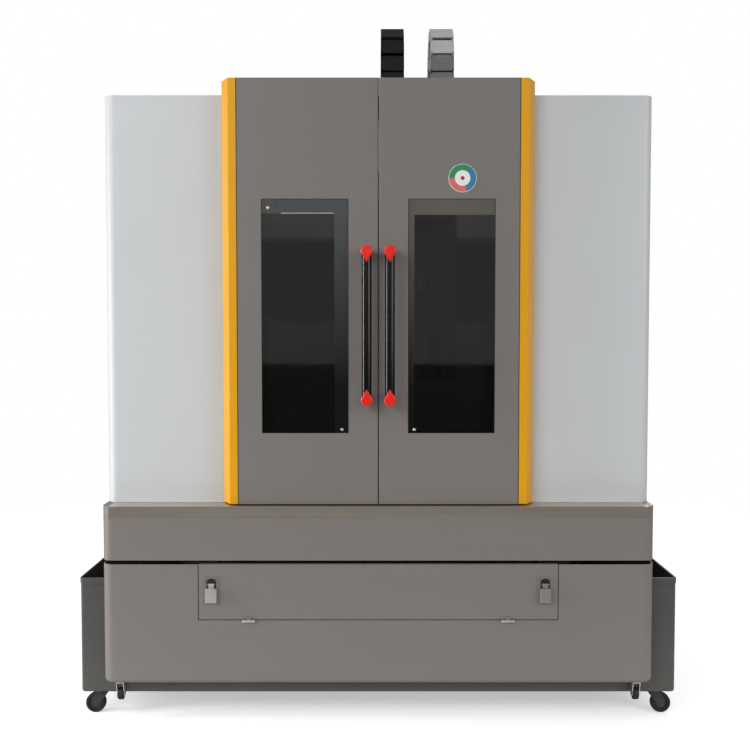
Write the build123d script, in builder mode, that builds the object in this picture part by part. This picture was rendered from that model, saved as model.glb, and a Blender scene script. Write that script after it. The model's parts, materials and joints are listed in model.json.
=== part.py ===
"""Enclosed gantry milling machine: fixed gantry, moving table, two sliding front doors, roll-out coolant tank."""

import math
import os

from build123d import *

# Frame: millimetres, +Z up, the doors look along -Y, origin on the floor under the middle of the machine
RUN_GAP = 0.3          # between a moving piece and what guides it
SLIDE_GAP = 3.0        # between a slide and the casting it passes over
SEAT_GAP = 0.2         # between a bored piece and the rod it holds
CUT = 5.0              # how far a cutting block runs past the face it opens

# Depth, from the front of the handles to the back of the electrical cabinet
HANDLE_REACH = 78.0
SILL_AHEAD = 28.0
DOOR_DEPTH = 58.0
DOOR_GAP = 3.0
ENCLOSURE_DEPTH = 1790.0
CABINET_DEPTH = 300.0
CABINET_DOOR_DEPTH = 24.0
TOTAL_DEPTH = HANDLE_REACH + DOOR_DEPTH + DOOR_GAP + ENCLOSURE_DEPTH + CABINET_DEPTH + CABINET_DOOR_DEPTH
FOREMOST_Y = -TOTAL_DEPTH / 2
DOOR_FRONT_Y = FOREMOST_Y + HANDLE_REACH
DOOR_BACK_Y = DOOR_FRONT_Y + DOOR_DEPTH
SHELL_FRONT_Y = DOOR_BACK_Y + DOOR_GAP
SHELL_BACK_Y = SHELL_FRONT_Y + ENCLOSURE_DEPTH
BASE_FRONT_Y = DOOR_FRONT_Y - SILL_AHEAD

# Sheet metal
SHEET = 3.0
SKIRT_SHEET = 4.0
FLANGE = 25.0

# Fixed skirt between the tank cover and the white shells
SKIRT_PAST_BED = 280.0
SKIRT_BOTTOM_Z = 609.0
SKIRT_TOP_Z = 810.0
SKIRT_CORNER_R = 40.0
SKIRT_LEDGE_PAST_SHELL = 3.0
SKIRT_ARM = 60.0
SKIRT_ARM_BOTTOM_Z = 625.0
SKIRT_ARM_YS = (-600.0, 0.0, 600.0)
SILL_SHEET = 1.5
SILL_HEIGHT = 43.0
SILL_INSET = 28.0

# White shells, the rear panel and the header that carries the doors
SHELL_TOP_Z = 2324.0
SHELL_INNER_X = 490.0
SHELL_CORNER_R = 40.0
HEADER_DEPTH = 34.0
HEADER_HEIGHT = 80.0
HEADER_INSET = 40.0
RAIL_BAR = 14.0
RAIL_BAR_HEIGHT = 40.0
RAIL_TOP_BELOW_SHELL = 17.0

# Doors
DOOR_BOTTOM_GAP = 4.0
DOOR_ABOVE_SHELL = 49.0
DOOR_MEETING_GAP = 4.0
DOOR_PANEL_X = 518.0
STRIP_FRONT_WIDTH = 31.0
STRIP_SIDE_WIDTH = 30.0
WINDOW_INNER_X = 110.0
WINDOW_OUTER_X = 428.0
WINDOW_BOTTOM_Z = 1078.0
WINDOW_TOP_Z = 1936.0
GLASS = 6.0
GLASS_LAP = 18.0
HANGER_XS = (90.0, 470.0)
HANGER_WIDTH = 50.0
HANGER_SHEET = 8.0
HANGER_BELOW_TOP = 12.0
HANGER_BEHIND_BAR = 3.0
ROLLER_R = 18.0
ROLLER_WIDTH = 12.0

# Door handles
HANDLE_X = 42.0
HANDLE_BOTTOM_Z = 1182.0
HANDLE_TOP_Z = 1763.0
HANDLE_BAR_R = 18.0
HANDLE_AXIS_REACH = 55.0
HANDLE_POST_R = 11.0
CAP_R = 21.5
CAP_LENGTH = 62.0
CAP_DEPTH = 44.0
CAP_EDGE_R = 6.0

# Base casting on its levelling feet
BED_HALF_WIDTH = 740.0
BED_LEG_BOTTOM_Z = 110.0
BED_SLAB_BOTTOM_Z = 600.0
BED_TOP_Z = 700.0
BED_BEHIND_SHELL_FRONT = 14.0
BED_BACK_BEFORE_SHELL = 62.0
BED_LIP = 10.0
BED_LIP_HEIGHT = 84.0
BED_WALL = 60.0
FOOT_PAD_R = 60.0
FOOT_PAD_HEIGHT = 22.0
FOOT_STEM_R = 18.0
FOOT_INSET = 80.0
FOOT_PITCH_MAX = 700.0

# Spindle axis and table
SPINDLE_BEHIND_SHELL = 780.0
TABLE_HALF_WIDTH = 450.0
TABLE_HALF_DEPTH = 350.0
TABLE_TRAVEL = 350.0
TABLE_TOP_Z = 880.0
T_SLOT_WIDTH = 14.0
T_SLOT_DEPTH = 24.0
T_SLOT_FOOT_WIDTH = 25.0
T_SLOT_FOOT_HEIGHT = 11.0
T_SLOT_PITCH = 125.0
T_SLOT_COUNT = 7
Y_RAIL_X = 280.0
Y_RAIL_WIDTH = 35.0
Y_RAIL_HEIGHT = 35.0
Y_CARRIAGE = 90.0
Y_CARRIAGE_DEPTH = 26.0
Y_SCREW_R = 14.0
Y_NUT_WIDTH = 70.0
BEARING_BLOCK = 40.0
MOTOR_SIDE = 110.0
MOTOR_LENGTH = 180.0
MOTOR_FLANGE_LENGTH = 60.0
MOTOR_CAN_SIDE = 90.0
MOTOR_PLATE = 15.0
MOTOR_POCKET_GAP = 10.0
RAIL_PAST_TABLE = 12.0

# Gantry
COLUMN_INNER_X = 560.0
COLUMN_BEHIND_BEAM_FRONT = 18.0
COLUMN_DEPTH = 520.0
BEAM_BOTTOM_Z = 1500.0
BEAM_HEIGHT = 400.0
BEAM_DEPTH = 340.0
SPINDLE_REACH = 290.0
X_RAIL_BEFORE_BED_SIDE = 85.0
X_RAIL_FROM_EDGE = 90.0
X_RAIL_WIDTH = 30.0
X_RAIL_HEIGHT = 30.0
X_SCREW_R = 12.0

# Saddle that runs along the beam, at rest to the right of the middle
SADDLE_REST_X = 172.0
X_TRAVEL = 400.0
SADDLE_HALF_WIDTH = 200.0
SADDLE_PLATE = 55.0
SADDLE_BOTTOM_Z = 1220.0
SADDLE_TOP_Z = 2030.0
X_CARRIAGE_HALF = 40.0
X_CARRIAGE_DEPTH = 26.0
SADDLE_DECK = 20.0
SADDLE_DECK_REACH = 104.0
SADDLE_DECK_HALF_WIDTH = 165.0

# Head that runs down the saddle, at rest at the top of its travel
Z_TRAVEL = 330.0
Z_RAIL_X = 140.0
Z_RAIL_WIDTH = 28.0
Z_RAIL_HEIGHT = 28.0
Z_RAIL_BOTTOM_Z = 1232.0
Z_RAIL_TOP_Z = 2000.0
Z_SCREW_R = 11.0
Z_SCREW_AHEAD = 36.0
HEAD_STAND_OFF = 60.0
HEAD_PLATE = 45.0
HEAD_HALF_WIDTH = 170.0
HEAD_BOTTOM_Z = 1420.0
HEAD_TOP_Z = 1960.0
Z_CARRIAGE_HALF_WIDTH = 30.0
Z_CARRIAGE_HALF_HEIGHT = 35.0
Z_CARRIAGE_ZS = (1610.0, 1915.0)
CLAMP_BOTTOM_Z = 1440.0
CLAMP_TOP_Z = 1630.0
CLAMP_WALL = 26.0
SPINDLE_R = 62.5
SPINDLE_BOTTOM_Z = 1320.0
SPINDLE_TOP_Z = 1700.0
SPINDLE_NOSE_R = 46.0
SPINDLE_NOSE_HEIGHT = 22.0
SHAFT_R = 25.0
SHAFT_IN_HOUSING = 120.0
COLLAR_R = 31.0
COLLAR_HEIGHT = 26.0
SHAFT_BELOW_COLLAR = 32.0
COLLET_BORE_R = 10.0
COLLET_BORE_DEPTH = 50.0
Z_MOTOR_SIDE = 100.0
Z_MOTOR_LENGTH = 210.0
Z_MOTOR_EDGE_R = 10.0
Z_MOTOR_CHAMFER = 5.0

# Drag chains of the head, each bent over at the top
CHAIN_TOP_Z = 2797.0
CHAIN_BEND_R = 125.0
CHAIN_HEIGHT = 50.0
CHAIN_WIDTH = 100.0
CHAIN_PITCH = 66.0
CHAIN_FROM_SADDLE_X = 108.0
CHAIN_FRONT_BEHIND_DOOR = 694.0
CHAIN_SIDE_PLATE = 9.0
CHAIN_BAR = 4.0
CHAIN_LINK_LENGTH = 52.0
CHAIN_NECK = 5.0
CHAIN_SHELF = 12.0

# Drag chain of the saddle, lying on the beam
X_CHAIN_BEND_R = 75.0
X_CHAIN_HEIGHT = 40.0
X_CHAIN_WIDTH = 70.0
X_CHAIN_PITCH = 50.0
X_CHAIN_LINK_LENGTH = 34.0
X_CHAIN_ON_BEAM = 150.0
X_CHAIN_FIXED_X = -160.0
X_CHAIN_MOVING_FROM_SADDLE = -160.0
X_CHAIN_SPARE = 230.0
X_ARM_WIDTH = 60.0

# Bellows over the slideways
X_BELLOWS_HEIGHT = 350.0
X_BELLOWS_PLEAT = 20.0
X_BELLOWS_DEPTH = 22.0
Y_BELLOWS_HALF_WIDTH = 335.0
Y_BELLOWS_PLEAT = 18.0
Y_BELLOWS_DEPTH = 26.0
Y_BELLOWS_BOTTOM_Z = 745.0
Y_BELLOWS_REAR_SPARE = 75.0
BELLOWS_SHEET = 2.5

# Roll-out coolant tank, a trough on three sides of the base casting
TANK_BEHIND_DOOR = 38.0
TANK_PAST_SKIRT = 99.0
TANK_BOTTOM_Z = 92.0
TANK_TOP_Z = 529.0
TANK_BACK_FROM_FRONT = 1631.0
TANK_BAY_CLEARANCE = 35.0
TANK_TROUGH_DEPTH = 316.0
TANK_SHEET = 4.0
TANK_EDGE_R = 12.0
TANK_LIP = 3.0
TANK_LIP_HEIGHT = 24.0
TRAY_INSIDE_FLAP = 22.0
TRAY_BOTTOM_Z = 400.0
TRAY_HOLE_R = 9.0
TRAY_HOLE_PITCH = 72.0
PUMP_Y_FROM_TANK_BACK = 120.0
PUMP_R = 44.0
PUMP_HEIGHT = 180.0
PUMP_PIPE_R = 22.0
PUMP_FLANGE = 5.0

# Front cover of the tank with its flap
COVER_BOTTOM_Z = 149.0
COVER_TOP_Z = 595.0
COVER_CORNER_R = 42.0
COVER_FOOT_R = 18.0
FLAP_HALF_WIDTH = 662.0
FLAP_BOTTOM_Z = 390.0
FLAP_SEAM = 3.0
FLAP_RETURN = 22.0
FLAP_HINGE_INSET = 184.0
FLAP_HINGE_WIDTH = 51.0
FLAP_HINGE_R = 5.0
FLAP_HINGE_OFF = 0.5
FLAP_HINGE_LEAF = 3.0
LATCH_INSET = 47.0
LATCH_PLATE_WIDTH = 54.0
LATCH_PLATE_BOTTOM_Z = 448.0
LATCH_PLATE_TOP_Z = 548.0
LATCH_PLATE = 3.0
LATCH_WINDOW_HEIGHT = 30.0
LATCH_RECESS = 2.0
LATCH_PIVOT_Z = 522.0
LATCH_PIVOT_R = 4.0
LATCH_BODY_WIDTH = 42.0
LATCH_BODY_BOTTOM_Z = 455.0
LATCH_BODY_TOP_Z = 508.0
LATCH_BODY_DEPTH = 14.0
LATCH_NECK_WIDTH = 20.0

# Casters under the tank, and the two small ones under its cover
CASTER_INSET_X = 66.0
CASTER_INSET_Y = 50.0
CASTER_TRAIL = 25.0
CASTER_WHEEL_R = 37.5
CASTER_WHEEL_WIDTH = 26.0
CASTER_CHEEK = 4.0
CASTER_CHEEK_GAP = 2.0
CASTER_AXLE_R = 5.0
CASTER_HEAD_R = 24.0
SMALL_CASTER_INSET = 60.0
SMALL_CASTER_BEHIND_FRONT = 34.0
SMALL_WHEEL_R = 22.5
SMALL_WHEEL_WIDTH = 20.0
SMALL_WHEEL_BOTTOM_Z = 79.0
SMALL_CASTER_PLATE = 3.0
SMALL_CASTER_CHEEK = 3.0
SMALL_CASTER_CHEEK_GAP = 1.5
SMALL_AXLE_R = 4.0

# Electrical cabinet on the rear panel
CABINET_HALF_WIDTH = 400.0
CABINET_BOTTOM_Z = 950.0
CABINET_TOP_Z = 2100.0
CABINET_SHEET = 4.0
CABINET_DOOR_GAP = 0.5
CABINET_LOCK_DEPTH = 8.0
CABINET_LOCK_WIDTH = 30.0
CABINET_LOCK_HEIGHT = 130.0

# Places that follow from the sizes above
SKIRT_HALF_WIDTH = BED_HALF_WIDTH + SKIRT_PAST_BED
SILL_HALF_WIDTH = SKIRT_HALF_WIDTH - SILL_INSET
HEADER_HALF_WIDTH = SKIRT_HALF_WIDTH - HEADER_INSET
COVER_HALF_WIDTH = SKIRT_HALF_WIDTH
TANK_HALF_WIDTH = SKIRT_HALF_WIDTH + TANK_PAST_SKIRT
TANK_BAY_HALF_WIDTH = BED_HALF_WIDTH + TANK_BAY_CLEARANCE
TRAY_HALF_WIDTH = FLAP_HALF_WIDTH - TRAY_INSIDE_FLAP
FLAP_HINGE_X = FLAP_HALF_WIDTH - FLAP_HINGE_INSET
LATCH_X = FLAP_HALF_WIDTH - LATCH_INSET
CASTER_X = TANK_HALF_WIDTH - CASTER_INSET_X
SMALL_CASTER_X = COVER_HALF_WIDTH - SMALL_CASTER_INSET
X_RAIL_HALF_LENGTH = BED_HALF_WIDTH - X_RAIL_BEFORE_BED_SIDE
DOOR_TOP_Z = SHELL_TOP_Z + DOOR_ABOVE_SHELL
SPINDLE_Y = SHELL_FRONT_Y + SPINDLE_BEHIND_SHELL
BED_FRONT_Y = SHELL_FRONT_Y + BED_BEHIND_SHELL_FRONT
BED_BACK_Y = SHELL_BACK_Y - BED_BACK_BEFORE_SHELL
TANK_FRONT_Y = DOOR_FRONT_Y + TANK_BEHIND_DOOR
TANK_BACK_Y = TANK_FRONT_Y + TANK_BACK_FROM_FRONT
TANK_BAY_FRONT_Y = TANK_FRONT_Y + TANK_TROUGH_DEPTH
BED_LEG_FRONT_Y = TANK_BAY_FRONT_Y + RUN_GAP
BEAM_FRONT_Y = SPINDLE_Y + SPINDLE_REACH
BEAM_BACK_Y = BEAM_FRONT_Y + BEAM_DEPTH
BEAM_TOP_Z = BEAM_BOTTOM_Z + BEAM_HEIGHT
X_RAIL_ZS = (BEAM_BOTTOM_Z + X_RAIL_FROM_EDGE, BEAM_TOP_Z - X_RAIL_FROM_EDGE)
X_SCREW_Z = BEAM_BOTTOM_Z + BEAM_HEIGHT / 2
SADDLE_BACK_Y = BEAM_FRONT_Y - X_RAIL_HEIGHT - SLIDE_GAP
X_SCREW_Y = (BEAM_FRONT_Y + SADDLE_BACK_Y) / 2
SADDLE_FRONT_Y = SADDLE_BACK_Y - SADDLE_PLATE
Z_SCREW_Y = SADDLE_FRONT_Y - Z_SCREW_AHEAD
HEAD_BACK_Y = SADDLE_FRONT_Y - HEAD_STAND_OFF
HEAD_FRONT_Y = HEAD_BACK_Y - HEAD_PLATE
SHAFT_BOTTOM_Z = SPINDLE_BOTTOM_Z - SPINDLE_NOSE_HEIGHT - COLLAR_HEIGHT - SHAFT_BELOW_COLLAR
TABLE_BOTTOM_Z = BED_TOP_Z + Y_RAIL_HEIGHT + SLIDE_GAP
TABLE_FRONT_Y = SPINDLE_Y - TABLE_HALF_DEPTH
TABLE_BACK_Y = SPINDLE_Y + TABLE_HALF_DEPTH
Y_SCREW_Z = (BED_TOP_Z + TABLE_BOTTOM_Z) / 2
Y_RAIL_FRONT_Y = TABLE_FRONT_Y - TABLE_TRAVEL - RAIL_PAST_TABLE
Y_RAIL_BACK_Y = TABLE_BACK_Y + TABLE_TRAVEL + RAIL_PAST_TABLE
Y_MOTOR_FRONT_Y = Y_RAIL_BACK_Y + 2 * BEARING_BLOCK
X_MOTOR_X = BED_HALF_WIDTH + MOTOR_PLATE
CHAIN_FRONT_Y = DOOR_FRONT_Y + CHAIN_FRONT_BEHIND_DOOR + CHAIN_HEIGHT / 2
CHAIN_REAR_Y = CHAIN_FRONT_Y + 2 * CHAIN_BEND_R
CHAIN_BEND_Z = CHAIN_TOP_Z - CHAIN_HEIGHT / 2 - CHAIN_BEND_R
HANDLE_Y = DOOR_FRONT_Y - HANDLE_AXIS_REACH
DOOR_BOTTOM_Z = SKIRT_TOP_Z + DOOR_BOTTOM_GAP
RAIL_TOP_Z = SHELL_TOP_Z - RAIL_TOP_BELOW_SHELL
HEADER_FRONT_Y = SHELL_FRONT_Y + SHEET
HEADER_BACK_Y = HEADER_FRONT_Y + HEADER_DEPTH
SIDES = (("left", -1), ("right", 1))

os.makedirs("parts", exist_ok=True)


def block(x, y, z, mode=Mode.ADD):
    """Box between two limits on each axis."""
    with Locations(((x[0] + x[1]) / 2, (y[0] + y[1]) / 2, (z[0] + z[1]) / 2)):
        Box(abs(x[1] - x[0]), abs(y[1] - y[0]), abs(z[1] - z[0]), mode=mode)


def rod(plane, radius, length, mode=Mode.ADD):
    """Cylinder that starts on a plane and runs along its normal."""
    with Locations(plane.location):
        Cylinder(radius, length, align=(Align.CENTER, Align.CENTER, Align.MIN), mode=mode)


def along_x(x, y, z):
    """Plane at a point whose normal is +X."""
    return Plane(origin=(x, y, z), x_dir=(0, 1, 0), z_dir=(1, 0, 0))


def along_y(x, y, z):
    """Plane at a point whose normal is +Y, with its own x along +X."""
    return Plane(origin=(x, y, z), x_dir=(1, 0, 0), z_dir=(0, 1, 0))


def front_corner_tray(half_width, front, back, radius, name_plane):
    """Sketch of a rectangle whose two front corners are round."""
    with BuildSketch(name_plane) as outline:
        with BuildLine():
            Polyline((-half_width, back), (-half_width, front), (half_width, front), (half_width, back),
                     close=True)
        make_face()
        fillet(outline.vertices().group_by(Axis.Y)[0], radius)
    return outline.sketch


def chain_station(distance, front_drop, bend_r):
    """Place and turn on a bent-over chain at a distance from its front end, in the chain's own plane."""
    if distance < front_drop:
        return -bend_r, distance - front_drop, 90.0
    turn = (distance - front_drop) / bend_r
    if turn < math.pi:
        return -bend_r * math.cos(turn), bend_r * math.sin(turn), 90.0 - math.degrees(turn)
    return bend_r, -(distance - front_drop - math.pi * bend_r), -90.0


def chain_outline(front_drop, rear_drop, bend_r, thickness, plane, links=None):
    """Sketch of an upside-down U band, a bent-over chain's side view, with the links' full outlines on it."""
    with BuildSketch(plane) as side:
        for radius, mode in ((bend_r + thickness / 2, Mode.ADD), (bend_r - thickness / 2, Mode.SUBTRACT)):
            Circle(radius, mode=mode)
        with Locations((0, -bend_r)):
            Rectangle(4 * bend_r, 2 * bend_r, mode=Mode.SUBTRACT)
        with Locations((-bend_r, -front_drop / 2)):
            Rectangle(thickness, front_drop)
        with Locations((bend_r, -rear_drop / 2)):
            Rectangle(thickness, rear_drop)
        if links:
            pitch, link_length, link_height = links
            count = int((front_drop + rear_drop + math.pi * bend_r) / pitch)
            for link in range(count):
                across, up, turn = chain_station((link + 0.5) * pitch, front_drop, bend_r)
                with Locations(Location((across, up, 0), (0, 0, turn))):
                    Rectangle(link_length, link_height)
    return side.sketch


def chain_solid(front_drop, rear_drop, bend_r, height, width, links, plane):
    """Bent-over drag chain: two side plates with necked joints, and bars across the links inside and outside."""
    with BuildPart() as chain:
        extrude(chain_outline(front_drop, rear_drop, bend_r, height - 2 * CHAIN_NECK, plane,
                              (*links, height)), amount=width)
        extrude(chain_outline(front_drop + CUT, rear_drop + CUT, bend_r, height - 2 * CHAIN_BAR,
                              plane.offset(CHAIN_SIDE_PLATE)), amount=width - 2 * CHAIN_SIDE_PLATE,
                mode=Mode.SUBTRACT)
    return chain.part


def zigzag(start, end, pleat, depth, sheet):
    """Points of a pleated sheet's cross-section that runs from start to end with its folds 0 to depth high."""
    count = max(2, round(abs(end - start) / pleat))
    step = (end - start) / count
    top = [(start + step * i, depth if i % 2 else sheet) for i in range(count + 1)]
    return top + [(at, height - sheet) for at, height in reversed(top)]


# Base casting: a box leg inside the tank's bay, a wider slab above it and a lip that holds the front bellows
with BuildPart() as base_casting:
    block((-BED_HALF_WIDTH, BED_HALF_WIDTH), (BED_LEG_FRONT_Y, BED_BACK_Y), (BED_LEG_BOTTOM_Z, BED_TOP_Z))
    block((-BED_HALF_WIDTH, BED_HALF_WIDTH), (BED_FRONT_Y, BED_LEG_FRONT_Y), (BED_SLAB_BOTTOM_Z, BED_TOP_Z))
    block(
        (-BED_HALF_WIDTH + BED_WALL, BED_HALF_WIDTH - BED_WALL),
        (BED_LEG_FRONT_Y + BED_WALL, BED_BACK_Y - BED_WALL),
        (BED_LEG_BOTTOM_Z - CUT, BED_SLAB_BOTTOM_Z),
        mode=Mode.SUBTRACT,
    )
    block((-Y_BELLOWS_HALF_WIDTH, Y_BELLOWS_HALF_WIDTH), (BED_FRONT_Y, BED_FRONT_Y + BED_LIP),
          (BED_TOP_Z, BED_TOP_Z + BED_LIP_HEIGHT))
    pocket_half = MOTOR_SIDE / 2 + MOTOR_POCKET_GAP
    block((-pocket_half, pocket_half), (Y_MOTOR_FRONT_Y, BED_BACK_Y + CUT),
          (Y_SCREW_Z - pocket_half, BED_TOP_Z + CUT), mode=Mode.SUBTRACT)
    for bearing_y in (Y_RAIL_FRONT_Y - BEARING_BLOCK, Y_RAIL_BACK_Y):
        block((-BEARING_BLOCK, BEARING_BLOCK), (bearing_y, bearing_y + BEARING_BLOCK),
              (BED_TOP_Z, TABLE_BOTTOM_Z - SLIDE_GAP + 2 * RUN_GAP))
    rod(along_y(0, Y_RAIL_FRONT_Y - BEARING_BLOCK, Y_SCREW_Z), Y_SCREW_R + RUN_GAP,
        Y_MOTOR_FRONT_Y - Y_RAIL_FRONT_Y + BEARING_BLOCK, mode=Mode.SUBTRACT)
base_casting.part.label = "base_casting"
export_step(base_casting.part, "parts/base_casting.step")

# Levelling feet: a round pad with its screw stem under the casting's walls
with BuildPart() as leveling_feet:
    foot_x = BED_HALF_WIDTH - FOOT_INSET / 2
    foot_front_y = BED_LEG_FRONT_Y + FOOT_INSET
    foot_run_y = BED_BACK_Y - FOOT_INSET - foot_front_y
    foot_gaps = math.ceil(foot_run_y / FOOT_PITCH_MAX)
    for side_x in (-foot_x, foot_x):
        for row in range(foot_gaps + 1):
            at_y = foot_front_y + row * foot_run_y / foot_gaps
            rod(Plane.XY.move(Location((side_x, at_y, 0))), FOOT_PAD_R, FOOT_PAD_HEIGHT)
            rod(Plane.XY.move(Location((side_x, at_y, FOOT_PAD_HEIGHT))), FOOT_STEM_R,
                BED_LEG_BOTTOM_Z - FOOT_PAD_HEIGHT)
leveling_feet.part.label = "leveling_feet"
export_step(leveling_feet.part, "parts/leveling_feet.step")

# Columns: posts with an upright front and a back that slopes away from the beam
for side, sign in SIDES:
    column_front = BEAM_FRONT_Y + COLUMN_BEHIND_BEAM_FRONT
    with BuildPart() as column:
        with BuildSketch(along_x(sign * (COLUMN_INNER_X + BED_HALF_WIDTH) / 2, 0, 0)):
            with BuildLine():
                Polyline(
                    (column_front, BED_TOP_Z),
                    (column_front, BEAM_BOTTOM_Z),
                    (BEAM_BACK_Y, BEAM_BOTTOM_Z),
                    (BEAM_BACK_Y, BEAM_BOTTOM_Z - BEAM_DEPTH / 2),
                    (column_front + COLUMN_DEPTH, BED_TOP_Z + BEAM_DEPTH),
                    (column_front + COLUMN_DEPTH, BED_TOP_Z),
                    close=True,
                )
            make_face()
        extrude(amount=(BED_HALF_WIDTH - COLUMN_INNER_X) / 2, both=True)
    column.part.label = f"{side}_column"
    export_step(column.part, f"parts/{side}_column.step")

# Cross beam with the screw's bearing blocks, the motor flange and cored ends
with BuildPart() as cross_beam:
    block((-BED_HALF_WIDTH, BED_HALF_WIDTH), (BEAM_FRONT_Y, BEAM_BACK_Y), (BEAM_BOTTOM_Z, BEAM_TOP_Z))
    block((-BED_HALF_WIDTH - CUT, BED_HALF_WIDTH + CUT), (BEAM_FRONT_Y + BED_WALL, BEAM_BACK_Y - BED_WALL),
          (BEAM_BOTTOM_Z + BED_WALL, BEAM_TOP_Z - BED_WALL), mode=Mode.SUBTRACT)
    for block_x in (-X_RAIL_HALF_LENGTH - BEARING_BLOCK, X_RAIL_HALF_LENGTH):
        block((block_x, block_x + BEARING_BLOCK), (SADDLE_BACK_Y, BEAM_FRONT_Y),
              (X_SCREW_Z - BEARING_BLOCK, X_SCREW_Z + BEARING_BLOCK))
    block((BED_HALF_WIDTH, X_MOTOR_X), (X_SCREW_Y - MOTOR_SIDE / 2, X_SCREW_Y + MOTOR_SIDE),
          (X_SCREW_Z - MOTOR_SIDE, X_SCREW_Z + MOTOR_SIDE))
    rod(along_x(-X_RAIL_HALF_LENGTH - BEARING_BLOCK, X_SCREW_Y, X_SCREW_Z), X_SCREW_R + RUN_GAP,
        X_MOTOR_X + X_RAIL_HALF_LENGTH + BEARING_BLOCK, mode=Mode.SUBTRACT)
cross_beam.part.label = "cross_beam"
export_step(cross_beam.part, "parts/cross_beam.step")

# Rails of the table and of the saddle, in two pairs
with BuildPart() as y_rails:
    for rail_x in (-Y_RAIL_X, Y_RAIL_X):
        block((rail_x - Y_RAIL_WIDTH / 2, rail_x + Y_RAIL_WIDTH / 2), (Y_RAIL_FRONT_Y, Y_RAIL_BACK_Y),
              (BED_TOP_Z, BED_TOP_Z + Y_RAIL_HEIGHT))
y_rails.part.label = "y_rails"
export_step(y_rails.part, "parts/y_rails.step")

with BuildPart() as x_rails:
    for rail_z in X_RAIL_ZS:
        block((-X_RAIL_HALF_LENGTH, X_RAIL_HALF_LENGTH), (BEAM_FRONT_Y - X_RAIL_HEIGHT, BEAM_FRONT_Y),
              (rail_z - X_RAIL_WIDTH / 2, rail_z + X_RAIL_WIDTH / 2))
x_rails.part.label = "x_rails"
export_step(x_rails.part, "parts/x_rails.step")

# Servo motors of the table and of the saddle: a square flange end and a smaller rear can
with BuildPart() as axis_motors:
    can = MOTOR_CAN_SIDE
    flange_length = MOTOR_FLANGE_LENGTH
    block((-MOTOR_SIDE / 2, MOTOR_SIDE / 2), (Y_MOTOR_FRONT_Y, Y_MOTOR_FRONT_Y + flange_length),
          (Y_SCREW_Z - MOTOR_SIDE / 2, Y_SCREW_Z + MOTOR_SIDE / 2))
    block((-can / 2, can / 2), (Y_MOTOR_FRONT_Y + flange_length, Y_MOTOR_FRONT_Y + MOTOR_LENGTH),
          (Y_SCREW_Z - can / 2, Y_SCREW_Z + can / 2))
    block((X_MOTOR_X, X_MOTOR_X + flange_length), (X_SCREW_Y - MOTOR_SIDE / 2, X_SCREW_Y + MOTOR_SIDE / 2),
          (X_SCREW_Z - MOTOR_SIDE / 2, X_SCREW_Z + MOTOR_SIDE / 2))
    block((X_MOTOR_X + flange_length, X_MOTOR_X + MOTOR_LENGTH), (X_SCREW_Y - can / 2, X_SCREW_Y + can / 2),
          (X_SCREW_Z - can / 2, X_SCREW_Z + can / 2))
axis_motors.part.label = "axis_motors"
export_step(axis_motors.part, "parts/axis_motors.step")

# Skirt: a ring of folded sheet with ledges and arms to the casting's sides
skirt_front_y = BASE_FRONT_Y + SILL_SHEET
with BuildPart() as upper_skirt:
    wall_outer = front_corner_tray(SKIRT_HALF_WIDTH, skirt_front_y, SHELL_BACK_Y, SKIRT_CORNER_R,
                                   Plane.XY.offset(SKIRT_BOTTOM_Z))
    extrude(wall_outer, amount=SKIRT_TOP_Z - SKIRT_BOTTOM_Z)
    wall_inner = front_corner_tray(
        SKIRT_HALF_WIDTH - SKIRT_SHEET,
        skirt_front_y + SKIRT_SHEET,
        SHELL_BACK_Y - SKIRT_SHEET,
        SKIRT_CORNER_R - SKIRT_SHEET,
        Plane.XY.offset(SKIRT_BOTTOM_Z + SKIRT_SHEET),
    )
    extrude(wall_inner, amount=SKIRT_TOP_Z - SKIRT_BOTTOM_Z - 2 * SKIRT_SHEET, mode=Mode.SUBTRACT)
    block((-SKIRT_HALF_WIDTH + FLANGE, SKIRT_HALF_WIDTH - FLANGE),
          (SHELL_FRONT_Y + SHEET + SKIRT_LEDGE_PAST_SHELL, SHELL_BACK_Y - FLANGE),
          (SKIRT_BOTTOM_Z - CUT, SKIRT_TOP_Z + CUT), mode=Mode.SUBTRACT)
    for sign in (-1, 1):
        for arm_y in SKIRT_ARM_YS:
            block((sign * BED_HALF_WIDTH, sign * (SKIRT_HALF_WIDTH - SKIRT_SHEET)),
                  (arm_y - SKIRT_ARM / 2, arm_y + SKIRT_ARM / 2),
                  (SKIRT_ARM_BOTTOM_Z, SKIRT_ARM_BOTTOM_Z + SKIRT_ARM))
    block((-SILL_HALF_WIDTH, SILL_HALF_WIDTH), (skirt_front_y - CUT, DOOR_BACK_Y),
          (SKIRT_TOP_Z - SILL_SHEET, SKIRT_TOP_Z + CUT), mode=Mode.SUBTRACT)
upper_skirt.part.label = "upper_skirt"
export_step(upper_skirt.part, "parts/upper_skirt.step")

# Stainless sill: an angle over the skirt's front edge, under the doors
with BuildPart() as sill_strip:
    block((-SILL_HALF_WIDTH, SILL_HALF_WIDTH), (BASE_FRONT_Y, skirt_front_y),
          (SKIRT_TOP_Z - SILL_HEIGHT, SKIRT_TOP_Z))
    block((-SILL_HALF_WIDTH, SILL_HALF_WIDTH), (skirt_front_y, DOOR_BACK_Y),
          (SKIRT_TOP_Z - SILL_SHEET, SKIRT_TOP_Z))
sill_strip.part.label = "sill_strip"
export_step(sill_strip.part, "parts/sill_strip.step")

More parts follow.
